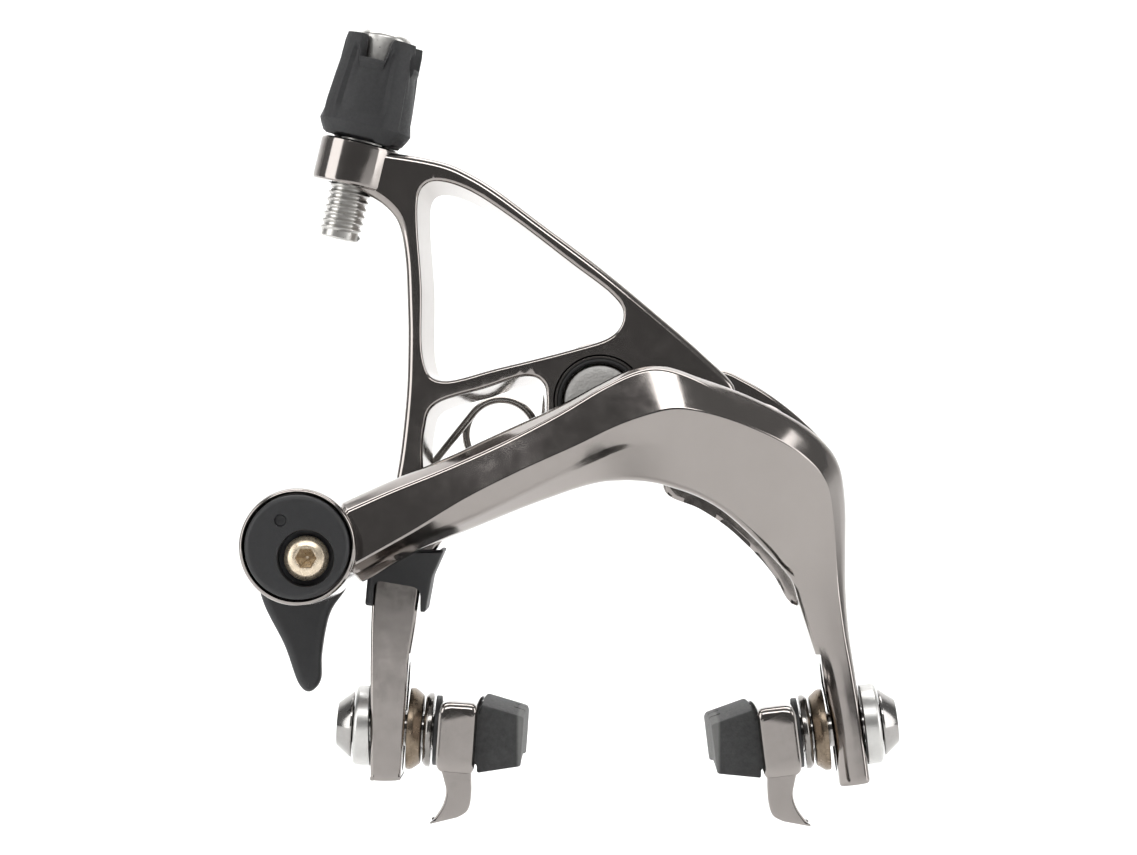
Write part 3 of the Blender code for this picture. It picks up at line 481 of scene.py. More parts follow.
def skin(bm, loops):
    """A surface through loops of equal length, each grown from the one before; gives its first and last edges."""
    verts = [bm.verts.new(point) for point in loops[0]]
    first = edges = [bm.edges.new(pair) for pair in zip(verts, verts[1:] + verts[:1])]
    for before, after in zip(loops, loops[1:]):
        near = kdtree.KDTree(len(before))
        for i, point in enumerate(before):
            near.insert(point, i)
        near.balance()
        grown = bmesh.ops.extrude_edge_only(bm, edges=edges)["geom"]
        for vert in (v for v in grown if isinstance(v, bmesh.types.BMVert)):
            vert.co = after[near.find(vert.co)[1]]
        edges = [e for e in grown if isinstance(e, bmesh.types.BMEdge)]
    return first, edges


def round_over(outline, radii, face, inward, steps=5):
    """Loops of a quarter-round edge from the flat face down to the side wall."""
    loops = []
    for k in range(steps + 1):
        turn = pi / 2 * (1 - k / steps)
        moved = inset(outline, [radius * (1 - cos(turn)) for radius in radii])
        loops.append([(p.x, face + inward * r * (1 - sin(turn)), p.y) for p, r in zip(moved, radii)])
    return loops


def forged(outline, front, rear, radii, rear_radius=0.5, windows=()):
    """A plate with rounded edges; windows is a list of lists of loops that run from the front face to the rear."""
    bm = bmesh.new()
    rears = [rear_radius] * len(outline)
    loops = round_over(outline, radii, front, 1) + round_over(outline, rears, rear, -1)[::-1]
    walls = [skin(bm, loops)] + [skin(bm, [[tuple(p) for p in loop] for loop in window]) for window in windows]
    for side_edges in zip(*walls):
        edges = [edge for group in side_edges for edge in group]
        bmesh.ops.triangle_fill(bm, use_beauty=True, use_dissolve=False, edges=edges, normal=(0, -1, 0))
    return bm


def polished_nickel():
    """Mirror finish with faint buffing marks and the slightest waviness."""
    made, tree, shader, place = finish("polished_nickel", 1.0, 0.1)
    drift(tree, shader, place, ((0.285, 0.263, 0.248, 1), (0.315, 0.291, 0.276, 1)), 6.0)
    rub(tree, shader, place, (0.07, 0.15), 2.2, 8.0)
    waves = add(tree, "TexNoise", {"Vector": place, "Scale": 1 / (5.0 * MM), "Detail": 1.0})
    relief(tree, shader, waves.outputs["Fac"], 0.012)
    return made


def even(made):
    """Weighs the surface directions by area, so that flats stay flat up to their rounded edges."""
    weigh = made.modifiers.new("even_flats", "WEIGHTED_NORMAL")
    weigh.keep_sharp = True


nickel = polished_nickel()
bracket_edge = through(
    [
        (-7, 4.6), (-2, 8.2), (4, 7.4), (12, 3.4), (20, 0.6), (26, -1.8), (28, -7), (24.6, -12.4),
        (18, -13), (10, -10), (2, -8.6), (-4.4, -8.6), (-8, -7), (-8.4, -2),
    ],
    8,
)
bracket = shaped(
    forged(bracket_edge, BRACKET_FRONT, BRACKET_REAR, [0.6] * len(bracket_edge)),
    joins=[block((-6.6, -11.0, -9.0), (-2.6, -6.0, -7.7), 0.3)],
    cuts=[
        turned(rod(CENTRE_BORE, -12, 0)),
        turned(rod(4.6, -12, 0), side),
    ],
)
even(finished("pivot_bracket_fine", bracket, nickel, "frame", "polished_nickel_arm", "pivot_bracket"))

# The Y arm: forged aluminium, rumbled and polished to a dark nickel mirror. It turns on the centre bolt behind the
# C arm. Its upper corner is drilled for the barrel adjuster and its leg is slotted for the left pad's bolt.
ARM_FRONT, ARM_REAR, HUB_REAR = -22.0, -12.0, -9.9
Y_HUB = 7.2
LEFT_SEAT, RIGHT_SEAT = 2.2, 2.35  # from a leg's middle to the flat on its inner side


def barrel_place():
    """Moves a shape made round the Y axis to the barrel adjuster, its distances counted up from the foot."""
    joint = JOINTS["barrel_knob_turn"]
    lean = atan2(-joint["axis"][0], -joint["axis"][2])
    foot = Matrix.Translation(Vector(joint["pos_m"]) / MM)
    return foot @ Matrix.Rotation(lean, 4, "Y") @ Matrix.Rotation(pi / 2, 4, "X")


def pad_place(name):
    """A pad's own frame: X along the pad bolt, Z up the leg's slot."""
    joint = JOINTS[name + "_shoe_swivel"]
    turn = atan2(-joint["axis"][2], joint["axis"][0])
    return Matrix.Translation(Vector(joint["pos_m"]) / MM) @ Matrix.Rotation(turn, 4, "Y")


def leg_slot(name):
    """The cutter of the slot through a leg: a straight bar with round ends."""
    ends = [(3.0 * cos(k * pi / 16), 6.4 + 3.0 * sin(k * pi / 16)) for k in range(17)]
    ends += [(3.0 * cos(k * pi / 16), -3.0 + 3.0 * sin(k * pi / 16)) for k in range(16, 33)]
    bm = bmesh.new()
    for edges in skin(bm, [[(x, y, z) for y, z in ends] for x in (-6.0, 6.0)]):
        bmesh.ops.edgeloop_fill(bm, edges=edges)
    bmesh.ops.transform(bm, matrix=pad_place(name), verts=bm.verts)
    return bm


def leg_flat(name, flip, seat):
    """The cutter of the flat down a leg's inner side, on which the pad's cup slides."""
    sides = sorted((-flip * seat, -flip * 8.0))
    bm = block((sides[0], -6.4, -12.0), (sides[1], 6.4, 10.8), 0.15)
    bmesh.ops.transform(bm, matrix=pad_place(name), verts=bm.verts)
    return bm


def window(points, slant):
    """Loops of a window through the Y arm: rounded at the front, its walls leaning in towards the back."""
    edge = through(points, 7)
    loops = []
    for k in range(5):
        turn = pi / 2 * k / 4
        moved = inset(edge, [0.5 * sin(turn) - 0.45] * len(edge))
        loops.append([(p.x, ARM_FRONT + 0.5 * (1 - cos(turn)), p.y) for p in moved])
    for inward, depth in ((0.75, -0.4), (0.72, -0.15), (0.55, 0.0)):
        moved = inset(edge, [inward] * len(edge))
        loops.append([(p.x + slant[0], ARM_REAR + depth, p.y + slant[1]) for p in moved])
    return loops


y_edge = through(
    [
        (-31.6, -52.7), (-31.9, -51.8), (-31.9, -45), (-31.9, -35), (-31.6, -27), (-30.4, -20),
        (-28.2, -10), (-27, 0), (-26.7, 8), (-26.8, 14), (-27.1, 20), (-28, 24.6), (-30, 27.2),
        (-33, 29.2), (-35.6, 31.4), (-34.8, 34.9), (-28.6, 34.5), (-22, 33.3), (-18, 31.6), (-14, 29.1),
        (-8, 24.6), (0, 18.6), (8, 12), (14, 6.8), (18.6, 2.2), (17.6, 0.2), (13.6, -1.2), (9, -1.2),
        (6.6, -3.2), (2.4, -6.8), (-3, -7.4), (-10, -11.6), (-17, -15.6), (-21.8, -19.3), (-24.4, -24),
        (-25.2, -27.6), (-25.6, -30.8), (-26.1, -33.8), (-26.6, -37), (-26.7, -40.2), (-27.1, -45.6),
        (-27.5, -51.8), (-28, -52.7),
    ],
    6,
)
y_radii = [0.5 + 0.6 * min(max((p.y + 22.0) / 14.0, 0.0), 1.0) for p in y_edge]
big_window = window(
    [
        (-24.6, 6), (-24.8, 16), (-25.4, 25), (-25, 29.2), (-22.6, 30.6), (-18, 29.2), (-12, 25.3),
        (-4, 19.2), (1.6, 14.9), (3.3, 12), (1.6, 9), (-4, 7.1), (-14, 4.6), (-22, 2.8),
    ],
    (0.7, -0.7),
)
small_window = window(
    [
        (-24.6, -9), (-24.4, -4), (-22.8, -0.4), (-16, 1.8), (-10.4, 3.5), (-7.8, 2.4), (-7.4, -1),
        (-8, -6), (-13, -9.6), (-21, -13.6), (-24, -12.6),
    ],
    (0.3, -0.5),
)
barrel = barrel_place()
hub_bore = [(0, -24), (7.2, -24), (6.3, -21.4), (6.3, -18.9), (5.5, -18.9), (5.5, -8), (0, -8)]
y_arm = shaped(
    forged(y_edge, ARM_FRONT, ARM_REAR, y_radii, 0.5, [big_window, small_window]),
    joins=[
        turned(rod(5.6, 6.4, 12.6), barrel, 96, 0.6),
        turned(rod(Y_HUB, ARM_FRONT + 1, HUB_REAR), None, 96, 0.4),
    ],
    cuts=[
        turned(hub_bore, None, 96, 0.0),
        turned([(0, 3.0), (3.3, 3.0), (3.3, 12.0), (4.0, 12.9), (0, 14.0)], barrel, 64, 0.0),
        block((8.6, -14.2, -6.0), (24.0, -11.0, 20.0)),
        leg_slot("left"),
        leg_flat("left", -1, LEFT_SEAT),
    ],
)
even(finished("y_arm_fine", y_arm, nickel, "y_arm", "polished_nickel_arm", "y_arm"))

# The C arm: forged and polished like the Y arm, in front of it. It turns on the pin pressed into its hub, clamps
# the cable at the quick release's boss on the left and carries the right pad on its slotted leg.
WALL_FRONT, WALL_REAR = -13.8, -10.3
BOSS_FRONT, BOSS_REAR = -37.4, -25.4
# Stations from the cable end to the foot: outer edge, upper crease, lower crease, middle crease, inner edge.
STATIONS = [
    ((-37.6, -31, -15), (-37, -32.6, -16.2), (-33.6, -34, -22.4), (-33, -32.5, -23.6), (-32.4, -29, -24.8)),
    ((-29.6, -30, -11.3), (-29.1, -32.6, -12.6), (-25.8, -34, -18), (-25.2, -32.5, -19.4), (-24.8, -29, -20.6)),
    ((-21.7, -30, -8), (-21.3, -32.8, -9.4), (-18.3, -34.2, -13.4), (-17.4, -32.4, -16), (-16.9, -29, -17.3)),
    ((-13.9, -30, -4.4), (-13.5, -33, -5.9), (-10.6, -34.4, -9.5), (-9.8, -32.4, -12.3), (-9.2, -28.5, -14.2)),
    ((-6, -30.5, -0.8), (-5.6, -33.2, -1.8), (-3.4, -34.5, -6.3), (-2.4, -32.4, -8.7), (-1.6, -28, -11.6)),
    ((0, -31, 2.4), (0.3, -33.2, 1.7), (2, -34.6, -3.7), (2.6, -32.4, -6.5), (2.8, -28, -11)),
    ((5, -31, 4.6), (5.1, -33, 3.9), (6.3, -34.6, -2.1), (6.8, -32.4, -5.5), (6.8, -28, -11.2)),
    ((9, -31, 4.8), (9, -32.6, 4.2), (10.2, -34.4, -1.2), (10.6, -32.2, -5.5), (10.2, -28, -12)),
    ((14, -30.5, 3.1), (14, -32, 2.4), (14, -34, -1.6), (13.6, -31.6, -6.3), (13.5, -27.6, -13.2)),
    ((20, -29.5, 0.9), (19.6, -31, -0.8), (18.6, -33, -2.9), (17.2, -30.5, -7.8), (16.7, -27, -15)),
    ((26.3, -28, -2.2), (25.4, -29.5, -3.6), (24, -31.4, -5.2), (21.2, -29, -10.2), (19.6, -26, -17.4)),
    ((30.6, -26, -5.3), (29.6, -27.6, -6.5), (28, -29.6, -7.7), (24.4, -27.6, -13.4), (22, -25, -19.7)),
    ((33.2, -23.5, -8.8), (32, -25.4, -9.6), (30.9, -27.2, -10.8), (27, -26, -16.4), (24.2, -24, -22)),
    ((34.2, -21, -14), (33.2, -23, -14.3), (32, -25, -14.9), (28.6, -24.4, -19.4), (25.8, -23, -23.8)),
    ((34.3, -20.4, -20), (33.5, -22, -20.2), (32.6, -23.4, -20.6), (29.6, -23.4, -22.8), (26.8, -22.6, -25.4)),
    ((34.3, -20.4, -26), (33.8, -21.6, -26.2), (33.1, -22.6, -26.4), (30.3, -22.8, -27), (27.6, -22.2, -28)),
    ((34.7, -20.6, -32), (34.3, -21.6, -32.1), (33.9, -22.2, -32.2), (31.6, -22.4, -32.5), (29.2, -21.8, -33)),
    ((35.5, -20.8, -37.6), (35.2, -21.6, -37.7), (34.9, -22, -37.8), (33, -22.2, -38), (30.9, -21.6, -38.4)),
    ((36.6, -20.8, -45), (36.4, -21.6, -45.1), (36.1, -22, -45.2), (34.3, -22.2, -45.5), (32.4, -21.6, -45.8)),
    ((37.6, -20.8, -52.4), (37.4, -21.6, -52.5), (37.1, -22, -52.6), (35.2, -22.2, -52.9), (33.3, -21.6, -53.1)),
]
REARS = [-24] * 9 + [-23, -21, -13.8] + [-12] * 8
# How far each of the seven edges is rounded: outer, upper, lower, middle, inner, inner rear, outer rear.
EDGE_RADII = (1.1, 0.35, 0.3, 0.8, 1.0, 0.6, 0.6)


def upright(corners, layers, steps=4, radius=0.5):
    """A straight-sided shape along Y from its corners as seen from the front; layers are (Y, inward)."""
    outline = rounded(corners, [radius] * len(corners), steps)
    loops = []
    for y, inward in layers:
        moved = inset(outline, [inward] * len(outline))
        loops.append([(p.x, y, p.y) for p in moved])
    bm = bmesh.new()
    for edges in skin(bm, loops):
        bmesh.ops.edgeloop_fill(bm, edges=edges)
    return bm


def c_arm_skin():
    """The arm's skin, its seven long edges rounded, with both ends closed by shrinking loops."""
    rows = []
    for row, rear in zip(STATIONS, REARS):
        outer, inner = row[0], row[-1]
        rows.append([*row, (inner[0], rear, inner[2]), (outer[0], rear, outer[2] - 0.3)])
    tracks = [through(list(track), 7, closed=False) for track in zip(*rows)]
    loops = [rounded(section, EDGE_RADII, 4) for section in zip(*tracks)]
    for end, after in ((0, 1), (-1, -2)):
        loop = loops[end]
        middle = sum(loop, Vector()) / len(loop)
        away = (middle - sum(loops[after], Vector()) / len(loop)).normalized()
        grown = [
            [p + (middle - p) * (0.08 * (1 - cos(turn))) + away * 0.5 * sin(turn) for p in loop]
            for turn in (pi / 8, pi / 4, 3 * pi / 8, pi / 2)
        ]
        loops = grown[::-1] + loops if end == 0 else loops + grown
    bm = bmesh.new()
    for edges in skin(bm, loops):
        bmesh.ops.edgeloop_fill(bm, edges=edges)
    return bm


wall_edge = through(
    [
        (9.2, -12.8), (9.4, -8), (11, -2), (13.4, 2.6), (17, 4.4), (20.4, 3.1), (24.5, 0.6), (28.6, -2.7),
        (32.2, -6.6), (33.8, -11), (34.1, -18), (34.1, -26), (27.7, -28.8), (24.6, -24.6), (22.2, -21.7),
        (18.2, -17.9), (14, -15.1),
    ],
    6,
)
# Lightening pockets in the rear wall's inner edge: the two ends of each.
POCKETS = (((12.6, -14.0), (15.6, -16.0)), ((17.4, -17.4), (20.4, -20.2)), ((21.9, -22.0), (24.6, -25.8)))


def pocket(start, end):
    """A cutter with round ends that sinks into the front of the rear wall."""
    start, end = Vector(start), Vector(end)
    along = (end - start).normalized() * 0.75
    across = Vector((-along.y, along.x))
    corners = [start - along - across, start - along + across, end + along + across, end + along - across]
    return upright(corners, [(WALL_FRONT - 6.0, 0.0), (WALL_FRONT + 1.6, 0.0)], 5, 0.7)


lever = pivot_place("quick_release_turn")
boss = [(0, BOSS_FRONT), (7.7, BOSS_FRONT), (7.95, BOSS_FRONT + 0.5), (8.4, BOSS_REAR), (0, BOSS_REAR)]
recess = [(0, -39), (7.9, -39), (7.35, -36.9), (7.35, -33.7), (5.5, -33.7), (5.5, -22), (0, -22)]
screw_hole = Matrix.Translation((11.2, -19.0, 0.0)) @ Matrix.Rotation(pi / 2, 4, "X")
c_arm = shaped(
    c_arm_skin(),
    joins=[
        forged(wall_edge, WALL_FRONT, WALL_REAR, [0.6] * len(wall_edge)),
        turned(rod(6.4, -27.4, HUB_REAR), side, 64, 0.3),
        block((8.7, -26.6, -9.1), (17.3, -14.3, -4.7), 0.5),
        turned(boss, lever, 96, 0.25),
    ],
    cuts=[
        turned(rod(3.5, -26.5, -8), side, 64, 0.0),
        turned(rod(2.2, -11, -3), screw_hole, 48, 0.0),
        turned(recess, lever, 96, 0.1),
        leg_slot("right"),
        leg_flat("right", 1, RIGHT_SEAT),
        *[pocket(*ends) for ends in POCKETS],
    ],
)
even(finished("c_arm_fine", c_arm, nickel, "c_arm", "polished_nickel_arm", "c_arm"))

# The centring screw: a hardened grub screw with a hexagon socket, threaded up into the C arm's lug from below.
# Its upper end bears on the Y arm, and turning it sets the two pads the same distance from the rim.


def hexagon(across, near, far, place, chamfer=0.0, point=0.0):
    """A six-sided bar along Y; for a socket, its near end is broken outwards and its far end is a drill point."""
    loops = []
    for distance, wider in ((near, chamfer), (near + chamfer, 0.0), (far, 0.0), (far + point, -point)):
        radius = across / 2 / cos(pi / 6) + wider
        loops.append([(radius * cos(k * pi / 3), distance, radius * sin(k * pi / 3)) for k in range(6)])
    bm = bmesh.new()
    for edges in skin(bm, loops[0 if chamfer else 1 : 4 if point else 3]):
        bmesh.ops.edgeloop_fill(bm, edges=edges)
    bmesh.ops.transform(bm, matrix=place, verts=bm.verts)
    return bm


grub = turned(rod(1.9, -8.9, -1.6), screw_hole, 48, 0.35)
grub = shaped(grub, cuts=[hexagon(2.0, -12.0, -7.2, screw_hole)])
finished("centring_screw_fine", grub, ground_steel, "c_arm", "dark_chrome_bolt", "centring_screw")

# The return spring: hard-drawn steel wire wound once and a half behind the Y arm. Its foot pushes on the bracket's
# lug and its long leg on the plastic cuff, a moulded clip pushed on round the top of the left leg.
COIL_CENTRE, COIL_RADIUS, WIRE = (-14.0, -4.7), 5.0, 0.55
COIL_FRONT, COIL_REAR, COIL_LEAVE = -11.2, -9.2, radians(140.5)


def wire(route, radius, sides=14):
    """A round wire along a route of points, its ends slightly rounded off."""
    loops = []
    up = Vector((0.0, 1.0, 0.0))
    for i, here in enumerate(route):
        along = (route[min(i + 1, len(route) - 1)] - route[max(i - 1, 0)]).normalized()
        up = (up - along * up.dot(along)).normalized()
        across = along.cross(up)
        turns = [2 * pi * k / sides for k in range(sides)]
        rings = [(0, 1)]
        if i in (0, len(route) - 1):
            step = -1 if i == 0 else 1
            rings = [(0.0, 1.0), (0.2 * step, 0.9), (0.3 * step, 0.6)][::step]
        for ahead, share in rings:
            middle = here + along * ahead * radius
            loops.append([middle + (across * cos(t) + up * sin(t)) * radius * share for t in turns])
    bm = bmesh.new()
    for edges in skin(bm, loops):
        bmesh.ops.edgeloop_fill(bm, edges=edges)
    return bm


def black_nylon():
    """Glass-filled nylon from a finely textured mould."""
    made, tree, shader, place = finish("black_nylon", 0.0, 0.5)
    drift(tree, shader, place, ((0.007, 0.007, 0.008, 1), (0.013, 0.013, 0.014, 1)), 1.2)
    rub(tree, shader, place, (0.42, 0.58), 0.3)
    grain = add(tree, "TexNoise", {"Vector": place, "Scale": 1 / (0.16 * MM), "Detail": 2.0})
    relief(tree, shader, grain.outputs["Fac"], 0.03)
    return made


turns = 2 * pi + COIL_LEAVE + pi / 2
coil = []
for k in range(121):
    angle = COIL_LEAVE - turns * k / 120
    depth = COIL_FRONT + (COIL_REAR - COIL_FRONT) * k / 120
    x, z = COIL_CENTRE[0] + COIL_RADIUS * cos(angle), COIL_CENTRE[1] + COIL_RADIUS * sin(angle)
    coil.append(Vector((x, depth, z)))
leg = [(-30.4, -24.2), (-29.6, -20), (-27.6, -15.4), (-25, -10.6)]
leg = through([(x, COIL_FRONT, z) for x, z in leg] + [coil[0]], 8, closed=False)[:-1]
foot = [coil[-1] + Vector((reach, 0.0, -0.1)) for reach in (1.5, 3.0, 6.5, 9.8)]
spring = wire(leg + coil + foot, WIRE)
finished("return_spring_fine", spring, spring_steel, "frame", "spring_steel", "return_spring")

nylon = black_nylon()
cuff_outer = [(-32.6, -28.3), (-32.2, -24), (-31.7, -20.8), (-21.6, -20.6), (-23.3, -24.4), (-24.2, -29.3)]
cuff_inner = [(-32.2, -30), (-31.7, -24), (-30.8, -19), (-21.4, -19), (-23.95, -24), (-24.9, -30.5)]
cuff_mouth = [(-31.7, -31), (-31.3, -24.8), (-24.9, -25.9), (-24.9, -31)]
cuff = shaped(
    upright(cuff_outer, [(-23.2, 0.4), (-23.1, 0.18), (-22.9, 0.04), (-22.7, 0.0), (-9.6, 0.0)], 4, 0.4),
    cuts=[
        upright(cuff_inner, [(ARM_FRONT - 0.3, 0.0), (-8.0, 0.0)], 4, 0.3),
        upright(cuff_mouth, [(-25.0, 0.0), (-18.0, 0.0)], 6, 1.2),
        block((-31.0, -11.7, -32.0), (-18.0, -8.0, -18.0)),
    ],
)
finished("spring_cuff_fine", cuff, nylon, "y_arm", "black_plastic", "spring_cuff")

# The quick release: a nylon cam that fills the C arm's boss, with a thumb lever behind the beam, on a steel
# friction ring. The cable's anchor bolt goes through the cam off its centre to a clamp washer and a nut behind.
ANCHOR = (1.2, -1.5)
DISC, DISC_FRONT, DISC_REAR, CAM_REAR = 7.1, -38.2, -34.6, -19.9
LEVER_FRONT, LEVER_REAR = -23.7, -20.2
DIMPLE = Matrix.Translation((-2.2, 0, 3.6))  # the mark on the disc, from its middle


def champagne_plating():
    """Warm gold-coloured zinc over turned steel."""
    made, tree, shader, place = finish("champagne_plating", 0.75, 0.38)
    drift(tree, shader, place, ((0.62, 0.52, 0.39, 1), (0.72, 0.62, 0.48, 1)), 0.9)
    rub(tree, shader, place, (0.22, 0.38), 0.4)
    return made


anchor = lever @ Matrix.Translation((ANCHOR[0], 0.0, ANCHOR[1]))
cam = [
    (0, DISC_FRONT), (6.6, DISC_FRONT), (DISC, -37.8), (DISC, DISC_REAR), (5.2, DISC_REAR), (5.2, CAM_REAR),
    (0, CAM_REAR),
]
counterbore = [(0, -40), (4.5, -40), (3.8, -37.9), (3.8, -35.4), (2.5, -35.4), (2.5, -19), (0, -19)]
cam = shaped(
    turned(cam, lever, 96, 0.25),
    cuts=[
        turned(counterbore, anchor, 72, 0.1),
        turned([(0, -41), (0.9, -38.6), (0.75, -37.6), (0, -37.4)], lever @ DIMPLE, 24),
    ],
)
finished("quick_release_cam_fine", cam, nylon, "quick_release", "black_plastic", "quick_release_cam")
friction = turned(ring(5.5, 7.0, -34.3, -34.0), lever, 72, 0.05)
finished(
    "friction_ring_fine", friction, ground_steel, "quick_release", "hidden_steel", "quick_release_friction_ring"
)
lever_edge = through(
    [
        (-4.6, 5), (0, 6.8), (4.6, 5), (6.7, 0), (6, -5.4), (3.4, -9.6), (2.3, -15), (2.1, -18.9),
        (0.6, -20.5), (-1, -19.2), (-2.9, -14), (-6, -7.6), (-6.9, -1),
    ],
    7,
)
thumb = forged(lever_edge, LEVER_FRONT, LEVER_REAR, [1.2] * len(lever_edge), 0.5)
bmesh.ops.transform(thumb, matrix=lever, verts=thumb.verts)
thumb = shaped(thumb, cuts=[turned(rod(5.5, -26, -19), lever, 72, 0.0)])
even(finished("quick_release_lever_fine", thumb, nylon, "quick_release", "black_plastic", "quick_release_lever"))
head = [
    (0, -37.9), (1.7, -37.9), (2.5, -37.55), (3.05, -36.8), (3.05, -35.7), (2.1, -35.7), (2.1, -14), (0, -14),
]
bolt = shaped(turned(head, anchor, 72, 0.2), cuts=[hexagon(2.5, -38.1, -35.9, anchor, 0.3, 1.2)])
champagne = champagne_plating()
finished("anchor_bolt_fine", bolt, champagne, "quick_release", "champagne_bolt", "cable_anchor_bolt")
washer = turned(ring(2.4, 5.0, -19.6, -18.5), anchor, 64, 0.2)
finished("clamp_washer_fine", washer, satin_silver, "quick_release", "satin_silver", "cable_clamp_washer")
nut = hexagon(8.0, -18.2, -14.6, anchor)
bmesh.ops.bevel(nut, geom=list(nut.edges), offset=0.3, segments=2, profile=0.5, affect="EDGES", material=-1)
nut = shaped(nut, cuts=[turned(rod(2.4, -20, -13), anchor, 48, 0.0)])
finished("anchor_nut_fine", nut, satin_silver, "quick_release", "satin_silver", "cable_anchor_nut")

# The barrel adjuster: an anodised aluminium stem threaded M6 through the Y arm's boss, holding the housing in its
# head, and a soft-touch knob round it with four grip panels. A steel sleeve spring inside keeps the knob seated.
KNOB_FOOT, KNOB_TOP, KNOB_NOTCH = 12.9, 27.4, 24.2
KNOB_START = radians(-9.0)  # the notch that faces the front


def soft_black():
    """Matt elastomer skin with a fine sanded texture."""
    made, tree, shader, place = finish("soft_black", 0.0, 0.6)
    drift(tree, shader, place, ((0.008, 0.008, 0.009, 1), (0.015, 0.015, 0.016, 1)), 1.5)
    rub(tree, shader, place, (0.5, 0.68), 0.4)
    grain = add(tree, "TexNoise", {"Vector": place, "Scale": 1 / (0.12 * MM), "Detail": 2.0})
    relief(tree, shader, grain.outputs["Fac"], 0.025)
    return made


def grip(bm):
    """Presses four panels into a plain turned knob, leaving ribs between, and cuts its top into castellations."""
    for vert in bm.verts:
        radius = (vert.co.x**2 + vert.co.z**2) ** 0.5
        turn = atan2(vert.co.x, vert.co.z) - KNOB_START
        share = abs((turn / (pi / 2)) % 1.0 - 0.5) * 2  # 1 on the middle of a panel, 0 on a rib
        panel = min(max((share - 0.22) / 0.16, 0.0), 1.0)
        panel = panel * panel * (3 - 2 * panel)
        height = vert.co.y
        if height > 19.0:
            top = KNOB_TOP - (KNOB_TOP - KNOB_NOTCH) * min(max((share - 0.45) / 0.12, 0.0), 1.0)
            vert.co.y = 19.0 + (height - 19.0) * (top - 19.0) / (KNOB_TOP - 19.0)
        inside = min(max((height - 15.0) / 1.2, 0.0), 1.0) * min(max((26.4 - height) / 1.2, 0.0), 1.0)
        if radius > 5.2 and height > 14.5:
            slim = (radius - 0.55 * panel * inside) / radius
            vert.co.x *= slim
            vert.co.z *= slim
        elif radius > 5.2:
            vert.co.y += 0.35 * panel * (1 - (height - KNOB_FOOT) / 1.6 if height < 14.5 else 0.0)
    return bm


knob_profile = [(3.5, 12.9), (5.6, 12.9), (6.1, 14), (6.5, 15), (6.6, 17)]
knob_profile += [(6.6 - 1.1 * (k / 14) ** 1.2, 17.0 + 10.4 * k / 14) for k in range(1, 15)]
knob_profile += [(3.9, 27.4 - 0.84 * k) for k in range(11)] + [(5.0, 18.6), (5.0, 14.0), (3.5, 14.0)]
knob = grip(turned(knob_profile, None, 144, 0.12))
bmesh.ops.transform(knob, matrix=barrel, verts=knob.verts)
finished("barrel_knob_fine", knob, soft_black(), "barrel_knob", "black_knob", "barrel_knob")
sleeve = turned(ring(3.4, 4.6, 14.4, 18.2), barrel, 64)
finished("barrel_spring_fine", sleeve, spring_steel, "barrel_knob", "spring_steel", "barrel_spring")
STEM, STEM_THREAD, STEM_TURNS = 2.9, 0.32, 12
anodised = plain_metal("anodised_aluminium", (0.44, 0.43, 0.41, 1), (0.54, 0.53, 0.51, 1), (0.26, 0.38))
stem = threaded(
    STEM, STEM_THREAD, 1.0, -0.9, STEM_TURNS,
    [(STEM - STEM_THREAD, -0.95), (STEM - 0.5, -1.1), (1.5, -1.1), (1.3, -0.9)],
    [
        (STEM - STEM_THREAD, 12.3), (STEM, 12.7), (STEM, 18.9), (3.5, 19.3), (3.6, 19.5), (3.6, 27.6), (3.5, 27.9),
        (3.2, 28.2), (3, 28.3), (1.8, 28.3), (1.5, 28.1), (1.3, 27.8),
    ],
)
open_rims = [e for e in stem.edges if e.is_boundary]
bmesh.ops.bridge_loops(stem, edges=open_rims)
bmesh.ops.transform(stem, matrix=barrel, verts=stem.verts)
finished("barrel_stem_fine", stem, anodised, "barrel_stem", "satin_silver", "barrel_stem")

# The two pads, mirror images on the left and right legs. A plated button-head bolt clamps each leg between a
# thick aluminium washer and a bronze cup; a ball washer and a nylon spacer let the polished aluminium holder tilt.
# The holder is a channel curved to the rim, its front end a wheel guide; a grub screw keeps the rubber pad in it.
SHOE_RADIUS, SHOE_LIFT, SHOE_PITCH, SHOE_HALF = 311.0, 1.0, radians(2.5), 26.0
PAD_FACE = 19.0
PAD_BORE = 2.8  # of every washer, round a bolt of 2.5
HOOK_WIDTH, HOOK_EDGE = 5.6, 0.3
GROOVES, GROOVE_HALF, GROOVE_DEPTH = (-13.0, -4.5, 4.5, 13.0), 0.6, 1.6
COMPOUND_DARK, COMPOUND_LIGHT, COMPOUND_DUST = (
    (0.012, 0.012, 0.012, 1), (0.028, 0.028, 0.028, 1), (0.13, 0.13, 0.125, 1),
)


def shoe_drop(y):
    """How far the shoe's middle line has fallen at a distance from the pad bolt, along the rim and pitched."""
    return y * y / 2 / SHOE_RADIUS + y * (SHOE_PITCH + SHOE_PITCH**3 / 3) - SHOE_LIFT


def swept(section, near, far, radius, end_radius, steps=28):
    """A section rounded at its corners and swept along the rim's curve, both ends rounded over."""
    outline = rounded(section, [radius] * len(section), 4)
    middle = sum(outline, Vector((0.0, 0.0))) / len(outline)
    places = [(near + end_radius * (1 - sin(a)), end_radius * (1 - cos(a))) for a in (pi / 2, pi / 3, pi / 6)]
    places += [(near + end_radius + (far - near - 2 * end_radius) * k / steps, 0.0) for k in range(steps + 1)]
    places += [(far - end_radius * (1 - sin(a)), end_radius * (1 - cos(a))) for a in (pi / 6, pi / 3, pi / 2)]
    loops = []
    for y, inward in places:
        moved = [p + (middle - p).normalized() * inward for p in outline]
        loops.append([(p.x, y, p.y - shoe_drop(y)) for p in moved])
    bm = bmesh.new()
    for edges in skin(bm, loops):
        bmesh.ops.edgeloop_fill(bm, edges=edges)
    return bm


